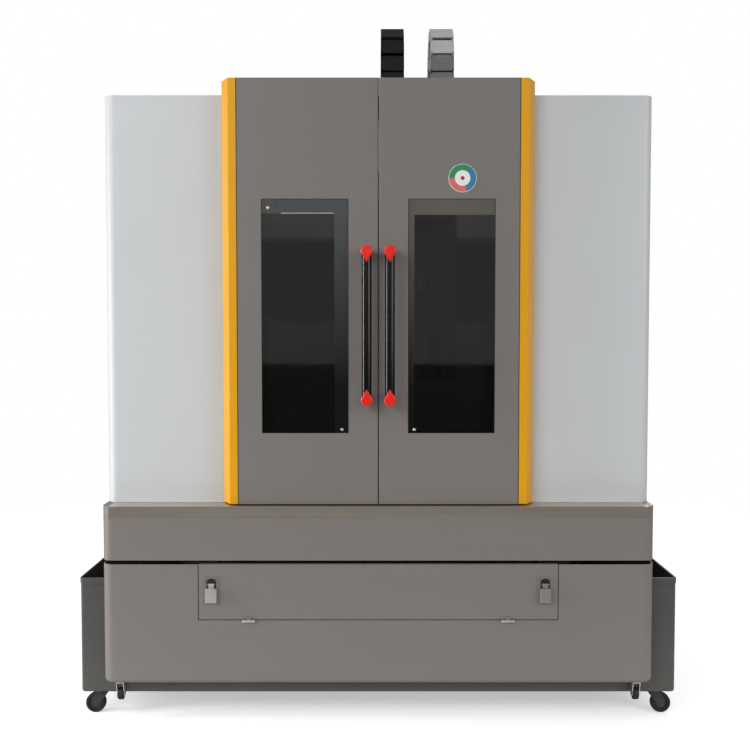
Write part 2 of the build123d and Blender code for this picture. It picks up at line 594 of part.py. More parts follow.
# White shells: front and side in one folded sheet with a round corner, and a narrow top and bottom return
for side, sign in SIDES:
    outer_x = sign * SKIRT_HALF_WIDTH
    side_back_y = SHELL_BACK_Y - SHEET
    with BuildPart() as shell:
        for inset, bottom, top, mode in (
            (0.0, SKIRT_TOP_Z, SHELL_TOP_Z, Mode.ADD),
            (SHEET, SKIRT_TOP_Z + SHEET, SHELL_TOP_Z - SHEET, Mode.SUBTRACT),
            (FLANGE, SKIRT_TOP_Z - CUT, SHELL_TOP_Z + CUT, Mode.SUBTRACT),
        ):
            reach = sign * (SHELL_INNER_X - (CUT if inset else 0.0))
            back = side_back_y + (CUT if inset else 0.0)
            corner = max(SHELL_CORNER_R - inset, SHEET)
            with BuildSketch(Plane.XY.offset(bottom)) as plan:
                with BuildLine():
                    Polyline(
                        (reach, SHELL_FRONT_Y + inset),
                        (outer_x - sign * inset, SHELL_FRONT_Y + inset),
                        (outer_x - sign * inset, back),
                        (reach, back),
                        close=True,
                    )
                make_face()
                fillet(plan.vertices().group_by(Axis.Y)[0].sort_by(Axis.X)[0 if sign < 0 else -1], corner)
            extrude(amount=top - bottom, mode=mode)
    shell.part.label = f"{side}_shell"
    export_step(shell.part, f"parts/{side}_shell.step")

# Rear panel with its top edge folded in
with BuildPart() as rear_panel:
    block((-SKIRT_HALF_WIDTH, SKIRT_HALF_WIDTH), (SHELL_BACK_Y - SHEET, SHELL_BACK_Y),
          (SKIRT_TOP_Z, SHELL_TOP_Z))
    block((-SHELL_INNER_X + RUN_GAP, SHELL_INNER_X - RUN_GAP), (SHELL_BACK_Y - FLANGE, SHELL_BACK_Y - SHEET),
          (SHELL_TOP_Z - SHEET, SHELL_TOP_Z))
rear_panel.part.label = "rear_panel"
export_step(rear_panel.part, "parts/rear_panel.step")

# Header behind the white shells with the bar that the door rollers run on
with BuildPart() as door_rail:
    header_top_z = SHELL_TOP_Z - SHEET
    block((-HEADER_HALF_WIDTH, HEADER_HALF_WIDTH), (HEADER_FRONT_Y, HEADER_BACK_Y),
          (header_top_z - HEADER_HEIGHT, header_top_z))
    block((-HEADER_HALF_WIDTH - CUT, HEADER_HALF_WIDTH + CUT), (HEADER_FRONT_Y + SHEET, HEADER_BACK_Y - SHEET),
          (header_top_z - HEADER_HEIGHT + SHEET, header_top_z - SHEET), mode=Mode.SUBTRACT)
    block((-HEADER_HALF_WIDTH, HEADER_HALF_WIDTH), (HEADER_BACK_Y, HEADER_BACK_Y + RAIL_BAR),
          (RAIL_TOP_Z - RAIL_BAR_HEIGHT, RAIL_TOP_Z))
door_rail.part.label = "door_rail"
export_step(door_rail.part, "parts/door_rail.step")

# Doors: the grey pan with its window and hangers, the glass, the yellow edge and the handle
for side, sign in SIDES:
    inner_x = sign * DOOR_MEETING_GAP / 2
    outer_x = sign * DOOR_PANEL_X
    with BuildPart() as door_panel:
        block((inner_x, outer_x), (DOOR_FRONT_Y, DOOR_BACK_Y), (DOOR_BOTTOM_Z, DOOR_TOP_Z))
        block((inner_x + sign * SHEET, outer_x - sign * SHEET), (DOOR_FRONT_Y + SHEET, DOOR_BACK_Y + CUT),
              (DOOR_BOTTOM_Z + SHEET, DOOR_TOP_Z - SHEET), mode=Mode.SUBTRACT)
        block((sign * WINDOW_INNER_X, sign * WINDOW_OUTER_X), (DOOR_FRONT_Y - CUT, DOOR_FRONT_Y + SHEET + CUT),
              (WINDOW_BOTTOM_Z, WINDOW_TOP_Z), mode=Mode.SUBTRACT)
        arm_top_z = DOOR_TOP_Z - HANGER_BELOW_TOP
        leg_y = HEADER_BACK_Y + RAIL_BAR + HANGER_BEHIND_BAR
        roller_z = RAIL_TOP_Z + RUN_GAP + ROLLER_R
        for hanger_x in HANGER_XS:
            strip = (sign * hanger_x - HANGER_WIDTH / 2, sign * hanger_x + HANGER_WIDTH / 2)
            block(strip, (DOOR_FRONT_Y + SHEET, leg_y + HANGER_SHEET), (arm_top_z - HANGER_SHEET, arm_top_z))
            block(strip, (leg_y, leg_y + HANGER_SHEET), (roller_z - ROLLER_R, arm_top_z - HANGER_SHEET))
            rod(along_y(sign * hanger_x, leg_y - ROLLER_WIDTH, roller_z), ROLLER_R, ROLLER_WIDTH)
    door_panel.part.label = f"{side}_door_panel"
    export_step(door_panel.part, f"parts/{side}_door_panel.step")

    with BuildPart() as window:
        block((sign * (WINDOW_INNER_X - GLASS_LAP), sign * (WINDOW_OUTER_X + GLASS_LAP)),
              (DOOR_FRONT_Y + SHEET, DOOR_FRONT_Y + SHEET + GLASS),
              (WINDOW_BOTTOM_Z - GLASS_LAP, WINDOW_TOP_Z + GLASS_LAP))
    window.part.label = f"{side}_window"
    export_step(window.part, f"parts/{side}_window.step")

    front_edge_x = sign * (DOOR_PANEL_X + STRIP_FRONT_WIDTH)
    back_edge_x = sign * (DOOR_PANEL_X + STRIP_FRONT_WIDTH + STRIP_SIDE_WIDTH)
    with BuildPart() as edge_strip:
        with BuildSketch(Plane.XY.offset(DOOR_BOTTOM_Z)):
            with BuildLine():
                Polyline((outer_x, DOOR_FRONT_Y), (front_edge_x, DOOR_FRONT_Y), (back_edge_x, DOOR_BACK_Y),
                         (outer_x, DOOR_BACK_Y), close=True)
            make_face()
            with BuildLine():
                slant = sign * SHEET
                Polyline((outer_x + slant, DOOR_FRONT_Y + SHEET), (front_edge_x - slant, DOOR_FRONT_Y + SHEET),
                         (back_edge_x - slant, DOOR_BACK_Y), (outer_x + slant, DOOR_BACK_Y), close=True)
            make_face(mode=Mode.SUBTRACT)
        extrude(amount=DOOR_TOP_Z - DOOR_BOTTOM_Z)
        for cap_z in (DOOR_BOTTOM_Z, DOOR_TOP_Z - SHEET):
            with BuildSketch(Plane.XY.offset(cap_z)):
                with BuildLine():
                    Polyline((outer_x, DOOR_FRONT_Y), (front_edge_x, DOOR_FRONT_Y), (back_edge_x, DOOR_BACK_Y),
                             (outer_x, DOOR_BACK_Y), close=True)
                make_face()
            extrude(amount=SHEET)
    edge_strip.part.label = f"{side}_edge_strip"
    export_step(edge_strip.part, f"parts/{side}_edge_strip.step")

    handle_x = sign * HANDLE_X
    cap_round_zs = ((HANDLE_BOTTOM_Z + CAP_R, 1), (HANDLE_TOP_Z - CAP_R, -1))
    with BuildPart() as handle_bar:
        rod(Plane.XY.move(Location((handle_x, HANDLE_Y, HANDLE_BOTTOM_Z + CAP_R))), HANDLE_BAR_R,
            HANDLE_TOP_Z - HANDLE_BOTTOM_Z - 2 * CAP_R)
        for post_z in (HANDLE_BOTTOM_Z + CAP_R + HANDLE_POST_R, HANDLE_TOP_Z - CAP_R - HANDLE_POST_R):
            rod(along_y(handle_x, HANDLE_Y, post_z), HANDLE_POST_R, HANDLE_AXIS_REACH)
    handle_bar.part.label = f"{side}_handle_bar"
    export_step(handle_bar.part, f"parts/{side}_handle_bar.step")

    with BuildPart() as handle_caps:
        for round_z, inward in cap_round_zs:
            point_z = round_z + inward * (CAP_LENGTH - CAP_R)
            tangent = math.acos(CAP_R / (CAP_LENGTH - CAP_R))
            shoulder_x = CAP_R * math.sin(tangent)
            shoulder_z = round_z + inward * CAP_R * math.cos(tangent)
            with BuildSketch(Plane(origin=(handle_x, FOREMOST_Y + CAP_DEPTH, 0), x_dir=(1, 0, 0),
                                   z_dir=(0, -1, 0))):
                with Locations((0, round_z)):
                    Circle(CAP_R)
                with BuildLine():
                    Polyline((0, round_z), (-shoulder_x, shoulder_z), (0, point_z), (shoulder_x, shoulder_z),
                             close=True)
                make_face()
            extrude(amount=CAP_DEPTH)
        fillet(handle_caps.faces().filter_by(Axis.Y).group_by(Axis.Y)[0].edges(), CAP_EDGE_R)
        rod(Plane.XY.move(Location((handle_x, HANDLE_Y, HANDLE_BOTTOM_Z + CAP_R - SEAT_GAP))),
            HANDLE_BAR_R + SEAT_GAP, HANDLE_TOP_Z - HANDLE_BOTTOM_Z - 2 * CAP_R + 2 * SEAT_GAP,
            mode=Mode.SUBTRACT)
        for post_z in (HANDLE_BOTTOM_Z + CAP_R + HANDLE_POST_R, HANDLE_TOP_Z - CAP_R - HANDLE_POST_R):
            rod(along_y(handle_x, HANDLE_Y, post_z), HANDLE_POST_R + SEAT_GAP, HANDLE_AXIS_REACH,
                mode=Mode.SUBTRACT)
    handle_caps.part.label = f"{side}_handle_caps"
    export_step(handle_caps.part, f"parts/{side}_handle_caps.step")

# Worktable on its four carriages, with T-slots along the table's travel
with BuildPart() as worktable:
    block((-TABLE_HALF_WIDTH, TABLE_HALF_WIDTH), (TABLE_FRONT_Y, TABLE_BACK_Y), (TABLE_BOTTOM_Z, TABLE_TOP_Z))
    for rail_x in (-Y_RAIL_X, Y_RAIL_X):
        for carriage_y in (TABLE_FRONT_Y + Y_CARRIAGE, TABLE_BACK_Y - Y_CARRIAGE):
            block((rail_x - Y_CARRIAGE / 2, rail_x + Y_CARRIAGE / 2),
                  (carriage_y - Y_CARRIAGE / 2, carriage_y + Y_CARRIAGE / 2),
                  (TABLE_BOTTOM_Z - Y_CARRIAGE_DEPTH, TABLE_BOTTOM_Z))
        block((rail_x - Y_RAIL_WIDTH / 2 - RUN_GAP, rail_x + Y_RAIL_WIDTH / 2 + RUN_GAP),
              (TABLE_FRONT_Y - CUT, TABLE_BACK_Y + CUT),
              (BED_TOP_Z, BED_TOP_Z + Y_RAIL_HEIGHT + RUN_GAP), mode=Mode.SUBTRACT)
    block((-Y_NUT_WIDTH / 2, Y_NUT_WIDTH / 2), (SPINDLE_Y - BEARING_BLOCK, SPINDLE_Y + BEARING_BLOCK),
          (BED_TOP_Z + SLIDE_GAP / 2, TABLE_BOTTOM_Z))
    rod(along_y(0, TABLE_FRONT_Y, Y_SCREW_Z), Y_SCREW_R + RUN_GAP, 2 * TABLE_HALF_DEPTH, mode=Mode.SUBTRACT)
    for slot in range(T_SLOT_COUNT):
        slot_x = (slot - (T_SLOT_COUNT - 1) / 2) * T_SLOT_PITCH
        run = (TABLE_FRONT_Y - CUT, TABLE_BACK_Y + CUT)
        block((slot_x - T_SLOT_WIDTH / 2, slot_x + T_SLOT_WIDTH / 2), run,
              (TABLE_TOP_Z - T_SLOT_DEPTH, TABLE_TOP_Z + CUT), mode=Mode.SUBTRACT)
        block((slot_x - T_SLOT_FOOT_WIDTH / 2, slot_x + T_SLOT_FOOT_WIDTH / 2), run,
              (TABLE_TOP_Z - T_SLOT_DEPTH, TABLE_TOP_Z - T_SLOT_DEPTH + T_SLOT_FOOT_HEIGHT), mode=Mode.SUBTRACT)
worktable.part.label = "worktable"
export_step(worktable.part, "parts/worktable.step")

# Saddle: an upright plate on the beam's rails, with the deck that holds the motor and the chains
deck_bottom_z = SADDLE_TOP_Z - SADDLE_DECK
with BuildPart() as saddle:
    block((SADDLE_REST_X - SADDLE_HALF_WIDTH, SADDLE_REST_X + SADDLE_HALF_WIDTH), (SADDLE_FRONT_Y, SADDLE_BACK_Y),
          (SADDLE_BOTTOM_Z, SADDLE_TOP_Z))
    for rail_z in X_RAIL_ZS:
        for carriage_x in (-1, 1):
            centre = SADDLE_REST_X + carriage_x * (SADDLE_HALF_WIDTH - X_CARRIAGE_HALF)
            block((centre - X_CARRIAGE_HALF, centre + X_CARRIAGE_HALF),
                  (SADDLE_BACK_Y, SADDLE_BACK_Y + X_CARRIAGE_DEPTH),
                  (rail_z - X_CARRIAGE_HALF, rail_z + X_CARRIAGE_HALF))
        block((SADDLE_REST_X - SADDLE_HALF_WIDTH - CUT, SADDLE_REST_X + SADDLE_HALF_WIDTH + CUT),
              (BEAM_FRONT_Y - X_RAIL_HEIGHT - RUN_GAP, BEAM_FRONT_Y),
              (rail_z - X_RAIL_WIDTH / 2 - RUN_GAP, rail_z + X_RAIL_WIDTH / 2 + RUN_GAP), mode=Mode.SUBTRACT)
    block((SADDLE_REST_X - Y_NUT_WIDTH / 2, SADDLE_REST_X + Y_NUT_WIDTH / 2),
          (SADDLE_BACK_Y, BEAM_FRONT_Y - SLIDE_GAP / 2), (X_SCREW_Z - Y_NUT_WIDTH / 2, X_SCREW_Z + Y_NUT_WIDTH / 2))
    rod(along_x(SADDLE_REST_X - SADDLE_HALF_WIDTH, X_SCREW_Y, X_SCREW_Z), X_SCREW_R + RUN_GAP,
        2 * SADDLE_HALF_WIDTH, mode=Mode.SUBTRACT)
    block((SADDLE_REST_X - SADDLE_DECK_HALF_WIDTH, SADDLE_REST_X + SADDLE_DECK_HALF_WIDTH),
          (SADDLE_FRONT_Y - SADDLE_DECK_REACH, SADDLE_FRONT_Y), (deck_bottom_z, SADDLE_TOP_Z))
    arm_x = SADDLE_REST_X + X_CHAIN_MOVING_FROM_SADDLE
    x_chain_y = BEAM_FRONT_Y + X_CHAIN_ON_BEAM
    x_chain_low_z = BEAM_TOP_Z + X_CHAIN_HEIGHT / 2 + CHAIN_BAR
    x_chain_high_z = x_chain_low_z + 2 * X_CHAIN_BEND_R
    block((arm_x - X_ARM_WIDTH, arm_x), (SADDLE_FRONT_Y, x_chain_y + X_CHAIN_WIDTH / 2),
          (SADDLE_TOP_Z, x_chain_high_z - X_CHAIN_HEIGHT / 2))
    rod(Plane.XY.move(Location((SADDLE_REST_X, Z_SCREW_Y, deck_bottom_z - CUT))), Z_SCREW_R + RUN_GAP,
        SADDLE_DECK + 2 * CUT, mode=Mode.SUBTRACT)
saddle.part.label = "saddle"
export_step(saddle.part, "parts/saddle.step")

with BuildPart() as z_rails:
    for rail_x in (SADDLE_REST_X - Z_RAIL_X, SADDLE_REST_X + Z_RAIL_X):
        block((rail_x - Z_RAIL_WIDTH / 2, rail_x + Z_RAIL_WIDTH / 2), (SADDLE_FRONT_Y - Z_RAIL_HEIGHT, SADDLE_FRONT_Y),
              (Z_RAIL_BOTTOM_Z, Z_RAIL_TOP_Z))
z_rails.part.label = "z_rails"
export_step(z_rails.part, "parts/z_rails.step")

# Head motor with its holding brake, standing on the saddle's deck
with BuildPart() as z_motor:
    half = Z_MOTOR_SIDE / 2
    block((SADDLE_REST_X - half, SADDLE_REST_X + half), (Z_SCREW_Y - half, Z_SCREW_Y + half),
          (SADDLE_TOP_Z, SADDLE_TOP_Z + Z_MOTOR_LENGTH))
    fillet(z_motor.edges().filter_by(Axis.Z), Z_MOTOR_EDGE_R)
    chamfer(z_motor.faces().sort_by(Axis.Z)[-1].edges(), Z_MOTOR_CHAMFER)
z_motor.part.label = "z_motor"
export_step(z_motor.part, "parts/z_motor.step")

# Head: plate on four carriages, the split clamp that holds the spindle and the shelf for the chains
with BuildPart() as z_head:
    block((SADDLE_REST_X - HEAD_HALF_WIDTH, SADDLE_REST_X + HEAD_HALF_WIDTH), (HEAD_FRONT_Y, HEAD_BACK_Y),
          (HEAD_BOTTOM_Z, HEAD_TOP_Z))
    for rail_x in (SADDLE_REST_X - Z_RAIL_X, SADDLE_REST_X + Z_RAIL_X):
        for carriage_z in Z_CARRIAGE_ZS:
            block((rail_x - Z_CARRIAGE_HALF_WIDTH, rail_x + Z_CARRIAGE_HALF_WIDTH),
                  (HEAD_BACK_Y, SADDLE_FRONT_Y - SLIDE_GAP),
                  (carriage_z - Z_CARRIAGE_HALF_HEIGHT, carriage_z + Z_CARRIAGE_HALF_HEIGHT))
        block((rail_x - Z_RAIL_WIDTH / 2 - RUN_GAP, rail_x + Z_RAIL_WIDTH / 2 + RUN_GAP),
              (SADDLE_FRONT_Y - Z_RAIL_HEIGHT - RUN_GAP, SADDLE_FRONT_Y),
              (HEAD_BOTTOM_Z, HEAD_TOP_Z), mode=Mode.SUBTRACT)
    nut_z = sum(Z_CARRIAGE_ZS) / 2
    block((SADDLE_REST_X - Y_NUT_WIDTH / 2, SADDLE_REST_X + Y_NUT_WIDTH / 2),
          (HEAD_BACK_Y, SADDLE_FRONT_Y - SLIDE_GAP), (nut_z - BEARING_BLOCK, nut_z + BEARING_BLOCK))
    rod(Plane.XY.move(Location((SADDLE_REST_X, Z_SCREW_Y, HEAD_BOTTOM_Z))), Z_SCREW_R + RUN_GAP,
        HEAD_TOP_Z - HEAD_BOTTOM_Z, mode=Mode.SUBTRACT)
    clamp_half = SPINDLE_R + CLAMP_WALL
    block((SADDLE_REST_X - clamp_half, SADDLE_REST_X + clamp_half), (SPINDLE_Y - clamp_half, HEAD_FRONT_Y),
          (CLAMP_BOTTOM_Z, CLAMP_TOP_Z))
    rod(Plane.XY.move(Location((SADDLE_REST_X, SPINDLE_Y, CLAMP_BOTTOM_Z - CUT))), SPINDLE_R + SEAT_GAP,
        CLAMP_TOP_Z - CLAMP_BOTTOM_Z + 2 * CUT, mode=Mode.SUBTRACT)
    block((SADDLE_REST_X - SLIDE_GAP, SADDLE_REST_X + SLIDE_GAP), (SPINDLE_Y - clamp_half - CUT, SPINDLE_Y),
          (CLAMP_BOTTOM_Z - CUT, CLAMP_TOP_Z + CUT), mode=Mode.SUBTRACT)
    shelf_half = CHAIN_FROM_SADDLE_X + CHAIN_WIDTH / 2
    block((SADDLE_REST_X - shelf_half, SADDLE_REST_X + shelf_half),
          (CHAIN_FRONT_Y - CHAIN_HEIGHT / 2, HEAD_FRONT_Y), (HEAD_TOP_Z - CHAIN_SHELF, HEAD_TOP_Z))
z_head.part.label = "z_head"
export_step(z_head.part, "parts/z_head.step")

with BuildPart() as spindle_housing:
    rod(Plane.XY.move(Location((SADDLE_REST_X, SPINDLE_Y, SPINDLE_BOTTOM_Z))), SPINDLE_R,
        SPINDLE_TOP_Z - SPINDLE_BOTTOM_Z)
    rod(Plane.XY.move(Location((SADDLE_REST_X, SPINDLE_Y, SPINDLE_BOTTOM_Z - SPINDLE_NOSE_HEIGHT))), SPINDLE_NOSE_R,
        SPINDLE_NOSE_HEIGHT)
    rod(Plane.XY.move(Location((SADDLE_REST_X, SPINDLE_Y, SPINDLE_BOTTOM_Z - SPINDLE_NOSE_HEIGHT))),
        SHAFT_R + RUN_GAP, SPINDLE_NOSE_HEIGHT + SHAFT_IN_HOUSING + RUN_GAP, mode=Mode.SUBTRACT)
    chamfer(spindle_housing.faces().sort_by(Axis.Z)[-1].edges(), SPINDLE_R / 10)
spindle_housing.part.label = "spindle_housing"
export_step(spindle_housing.part, "parts/spindle_housing.step")

with BuildPart() as spindle_shaft:
    nose_z = SPINDLE_BOTTOM_Z - SPINDLE_NOSE_HEIGHT
    rod(Plane.XY.move(Location((SADDLE_REST_X, SPINDLE_Y, nose_z - RUN_GAP))), SHAFT_R, SPINDLE_NOSE_HEIGHT
        + SHAFT_IN_HOUSING)
    rod(Plane.XY.move(Location((SADDLE_REST_X, SPINDLE_Y, nose_z - RUN_GAP - COLLAR_HEIGHT))), COLLAR_R, COLLAR_HEIGHT)
    rod(Plane.XY.move(Location((SADDLE_REST_X, SPINDLE_Y, SHAFT_BOTTOM_Z))), SHAFT_R,
        SHAFT_BELOW_COLLAR)
    rod(Plane.XY.move(Location((SADDLE_REST_X, SPINDLE_Y, SHAFT_BOTTOM_Z))), COLLET_BORE_R, COLLET_BORE_DEPTH,
        mode=Mode.SUBTRACT)
spindle_shaft.part.label = "spindle_shaft"
export_step(spindle_shaft.part, "parts/spindle_shaft.step")

# Drag chains of the head, from the shelf of the head over the bend down to the saddle's deck
chain_front_drop = CHAIN_BEND_Z - HEAD_TOP_Z
chain_rear_drop = CHAIN_BEND_Z - SADDLE_TOP_Z
for name, offset in (("black_chain", -CHAIN_FROM_SADDLE_X), ("grey_chain", CHAIN_FROM_SADDLE_X)):
    chain_plane = along_x(SADDLE_REST_X + offset - CHAIN_WIDTH / 2, (CHAIN_FRONT_Y + CHAIN_REAR_Y) / 2, CHAIN_BEND_Z)
    with BuildPart() as chain:
        add(chain_solid(chain_front_drop, chain_rear_drop, CHAIN_BEND_R, CHAIN_HEIGHT, CHAIN_WIDTH,
                        (CHAIN_PITCH, CHAIN_LINK_LENGTH), chain_plane))
        split(bisect_by=Plane.XY.offset(HEAD_TOP_Z), keep=Keep.TOP)
    chain.part.label = name
    export_step(chain.part, f"parts/{name}.step")

# Drag chain of the saddle: the lower run lies on the beam, the upper run ends on the saddle's arm
x_chain_bend_x = (X_CHAIN_FIXED_X + arm_x) / 2 + X_CHAIN_SPARE
x_chain_plane = Plane(origin=(x_chain_bend_x, x_chain_y - X_CHAIN_WIDTH / 2, x_chain_low_z + X_CHAIN_BEND_R),
                      x_dir=(0, 0, 1), z_dir=(0, 1, 0))
with BuildPart() as x_chain:
    add(chain_solid(x_chain_bend_x - X_CHAIN_FIXED_X, x_chain_bend_x - arm_x, X_CHAIN_BEND_R, X_CHAIN_HEIGHT,
                    X_CHAIN_WIDTH, (X_CHAIN_PITCH, X_CHAIN_LINK_LENGTH), x_chain_plane))
    block((X_CHAIN_FIXED_X - X_ARM_WIDTH / 2, X_CHAIN_FIXED_X),
          (x_chain_y - X_CHAIN_WIDTH / 2, x_chain_y + X_CHAIN_WIDTH / 2), (BEAM_TOP_Z, x_chain_low_z))
    block((arm_x - X_ARM_WIDTH, arm_x), (x_chain_y - X_CHAIN_WIDTH / 2, x_chain_y + X_CHAIN_WIDTH / 2),
          (x_chain_high_z - X_CHAIN_HEIGHT / 2, x_chain_high_z))
x_chain.part.label = "x_chain"
export_step(x_chain.part, "parts/x_chain.step")

# Bellows of the beam: one on each side of the saddle, pleats standing forward
with BuildPart() as x_bellows:
    pleat_plane = Plane(origin=(0, SADDLE_BACK_Y - SLIDE_GAP, X_SCREW_Z - X_BELLOWS_HEIGHT / 2), x_dir=(1, 0, 0),
                        z_dir=(0, 0, 1))
    for start, end in (
        (-X_RAIL_HALF_LENGTH - BEARING_BLOCK, SADDLE_REST_X - SADDLE_HALF_WIDTH),
        (SADDLE_REST_X + SADDLE_HALF_WIDTH, X_RAIL_HALF_LENGTH + BEARING_BLOCK),
    ):
        with BuildSketch(pleat_plane):
            with BuildLine():
                Polyline(*[(x, -y) for x, y in zigzag(start, end, X_BELLOWS_PLEAT, X_BELLOWS_DEPTH, BELLOWS_SHEET)],
                         close=True)
            make_face()
        extrude(amount=X_BELLOWS_HEIGHT)
x_bellows.part.label = "x_bellows"
export_step(x_bellows.part, "parts/x_bellows.step")

# Bellows of the bed: one before and one behind the table, over the rails and the screw
with BuildPart() as y_bellows:
    for start, end in (
        (BED_FRONT_Y + BED_LIP, TABLE_FRONT_Y),
        (TABLE_BACK_Y, Y_RAIL_BACK_Y + Y_BELLOWS_REAR_SPARE),
    ):
        with BuildSketch(along_x(-Y_BELLOWS_HALF_WIDTH, 0, Y_BELLOWS_BOTTOM_Z)):
            with BuildLine():
                Polyline(*zigzag(start, end, Y_BELLOWS_PLEAT, Y_BELLOWS_DEPTH, BELLOWS_SHEET), close=True)
            make_face()
        extrude(amount=2 * Y_BELLOWS_HALF_WIDTH)
y_bellows.part.label = "y_bellows"
export_step(y_bellows.part, "parts/y_bellows.step")

# Ball screws, drawn as plain bars
with BuildPart() as x_screw:
    rod(along_x(-X_RAIL_HALF_LENGTH - BEARING_BLOCK, X_SCREW_Y, X_SCREW_Z), X_SCREW_R,
        X_MOTOR_X + X_RAIL_HALF_LENGTH + BEARING_BLOCK - RUN_GAP)
x_screw.part.label = "x_screw"
export_step(x_screw.part, "parts/x_screw.step")

with BuildPart() as y_screw:
    rod(along_y(0, Y_RAIL_FRONT_Y - BEARING_BLOCK, Y_SCREW_Z), Y_SCREW_R,
        Y_MOTOR_FRONT_Y - Y_RAIL_FRONT_Y + BEARING_BLOCK - RUN_GAP)
y_screw.part.label = "y_screw"
export_step(y_screw.part, "parts/y_screw.step")

with BuildPart() as z_screw:
    rod(Plane.XY.move(Location((SADDLE_REST_X, Z_SCREW_Y, Z_RAIL_BOTTOM_Z))), Z_SCREW_R,
        SADDLE_TOP_Z - Z_RAIL_BOTTOM_Z - RUN_GAP)
z_screw.part.label = "z_screw"
export_step(z_screw.part, "parts/z_screw.step")

# Coolant tank: a trough along the front and both sides, open above, with a folded rim
with BuildPart() as coolant_tank:
    for inset, mode in ((0.0, Mode.ADD), (TANK_SHEET, Mode.SUBTRACT)):
        with BuildPart(mode=Mode.PRIVATE) as trough:
            with BuildSketch(Plane.XY.offset(TANK_BOTTOM_Z + inset)) as plan:
                with BuildLine():
                    Polyline(
                        (-TANK_HALF_WIDTH + inset, TANK_BACK_Y - inset),
                        (-TANK_HALF_WIDTH + inset, TANK_FRONT_Y + inset),
                        (TANK_HALF_WIDTH - inset, TANK_FRONT_Y + inset),
                        (TANK_HALF_WIDTH - inset, TANK_BACK_Y - inset),
                        (TANK_BAY_HALF_WIDTH + inset, TANK_BACK_Y - inset),
                        (TANK_BAY_HALF_WIDTH + inset, TANK_BAY_FRONT_Y - inset),
                        (-TANK_BAY_HALF_WIDTH - inset, TANK_BAY_FRONT_Y - inset),
                        (-TANK_BAY_HALF_WIDTH - inset, TANK_BACK_Y - inset),
                        close=True,
                    )
                make_face()
                fillet(plan.vertices().group_by(Axis.Y)[0], TANK_EDGE_R - inset)
            extrude(amount=TANK_TOP_Z - TANK_BOTTOM_Z)
            bottom_rim = trough.faces().sort_by(Axis.Z)[0].edges()
            outer_rim = bottom_rim.filter_by(
                lambda edge: edge.center().Y < TANK_FRONT_Y + 2 * TANK_EDGE_R
                or abs(edge.center().X) > TANK_HALF_WIDTH - TANK_EDGE_R
            )
            fillet(outer_rim, TANK_EDGE_R - inset)
        add(trough.part, mode=mode)
    for rim_sign in (-1, 1):
        block((rim_sign * TANK_HALF_WIDTH, rim_sign * (TANK_HALF_WIDTH + TANK_LIP)),
              (TANK_FRONT_Y + TANK_EDGE_R, TANK_BACK_Y), (TANK_TOP_Z - TANK_LIP_HEIGHT, TANK_TOP_Z))
        block((rim_sign * (COVER_HALF_WIDTH + TANK_LIP), rim_sign * (TANK_HALF_WIDTH - TANK_EDGE_R)),
              (TANK_FRONT_Y - TANK_LIP, TANK_FRONT_Y), (TANK_TOP_Z - TANK_LIP_HEIGHT, TANK_TOP_Z))
coolant_tank.part.label = "coolant_tank"
export_step(coolant_tank.part, "parts/coolant_tank.step")

# Chip tray that hangs in the front trough behind the flap
with BuildPart() as chip_tray:
    block((-TRAY_HALF_WIDTH, TRAY_HALF_WIDTH), (TANK_FRONT_Y + 2 * TANK_SHEET, TANK_BAY_FRONT_Y - 2 * TANK_SHEET),
          (TRAY_BOTTOM_Z, TANK_TOP_Z + SHEET))
    block((-TRAY_HALF_WIDTH + SHEET, TRAY_HALF_WIDTH - SHEET),
          (TANK_FRONT_Y + 2 * TANK_SHEET + SHEET, TANK_BAY_FRONT_Y - 2 * TANK_SHEET - SHEET),
          (TRAY_BOTTOM_Z + SHEET, TANK_TOP_Z + SHEET + CUT), mode=Mode.SUBTRACT)
    for rest in ((TANK_FRONT_Y, TANK_FRONT_Y + 2 * TANK_SHEET),
                 (TANK_BAY_FRONT_Y - 2 * TANK_SHEET, TANK_BAY_FRONT_Y)):
        block((-TRAY_HALF_WIDTH, TRAY_HALF_WIDTH), rest, (TANK_TOP_Z, TANK_TOP_Z + SHEET))
    tray_columns = int(2 * TRAY_HALF_WIDTH / TRAY_HOLE_PITCH)
    tray_rows = int((TANK_TROUGH_DEPTH - 4 * TANK_SHEET) / TRAY_HOLE_PITCH)
    with Locations((0, (TANK_FRONT_Y + TANK_BAY_FRONT_Y) / 2, TRAY_BOTTOM_Z)):
        with GridLocations(TRAY_HOLE_PITCH, TRAY_HOLE_PITCH, tray_columns, tray_rows):
            Cylinder(TRAY_HOLE_R, 4 * SHEET, mode=Mode.SUBTRACT)
chip_tray.part.label = "chip_tray"
export_step(chip_tray.part, "parts/chip_tray.step")

# Coolant pump: bridge plate over the right arm of the tank, motor above it and pipe below
with BuildPart() as coolant_pump:
    pump_x = (SKIRT_HALF_WIDTH + TANK_HALF_WIDTH) / 2
    pump_y = TANK_BACK_Y - PUMP_Y_FROM_TANK_BACK
    block((TANK_BAY_HALF_WIDTH, TANK_HALF_WIDTH), (pump_y - PUMP_R - CUT, pump_y + PUMP_R + CUT),
          (TANK_TOP_Z, TANK_TOP_Z + PUMP_FLANGE))
    rod(Plane.XY.move(Location((pump_x, pump_y, TANK_TOP_Z + PUMP_FLANGE))), PUMP_R, PUMP_HEIGHT)
    rod(Plane.XY.move(Location((pump_x, pump_y, TANK_BOTTOM_Z + 5 * TANK_SHEET))), PUMP_PIPE_R,
        TANK_TOP_Z - TANK_BOTTOM_Z - 5 * TANK_SHEET)
    chamfer(coolant_pump.faces().sort_by(Axis.Z)[-1].edges(), PUMP_R / 5)
coolant_pump.part.label = "coolant_pump"
export_step(coolant_pump.part, "parts/coolant_pump.step")

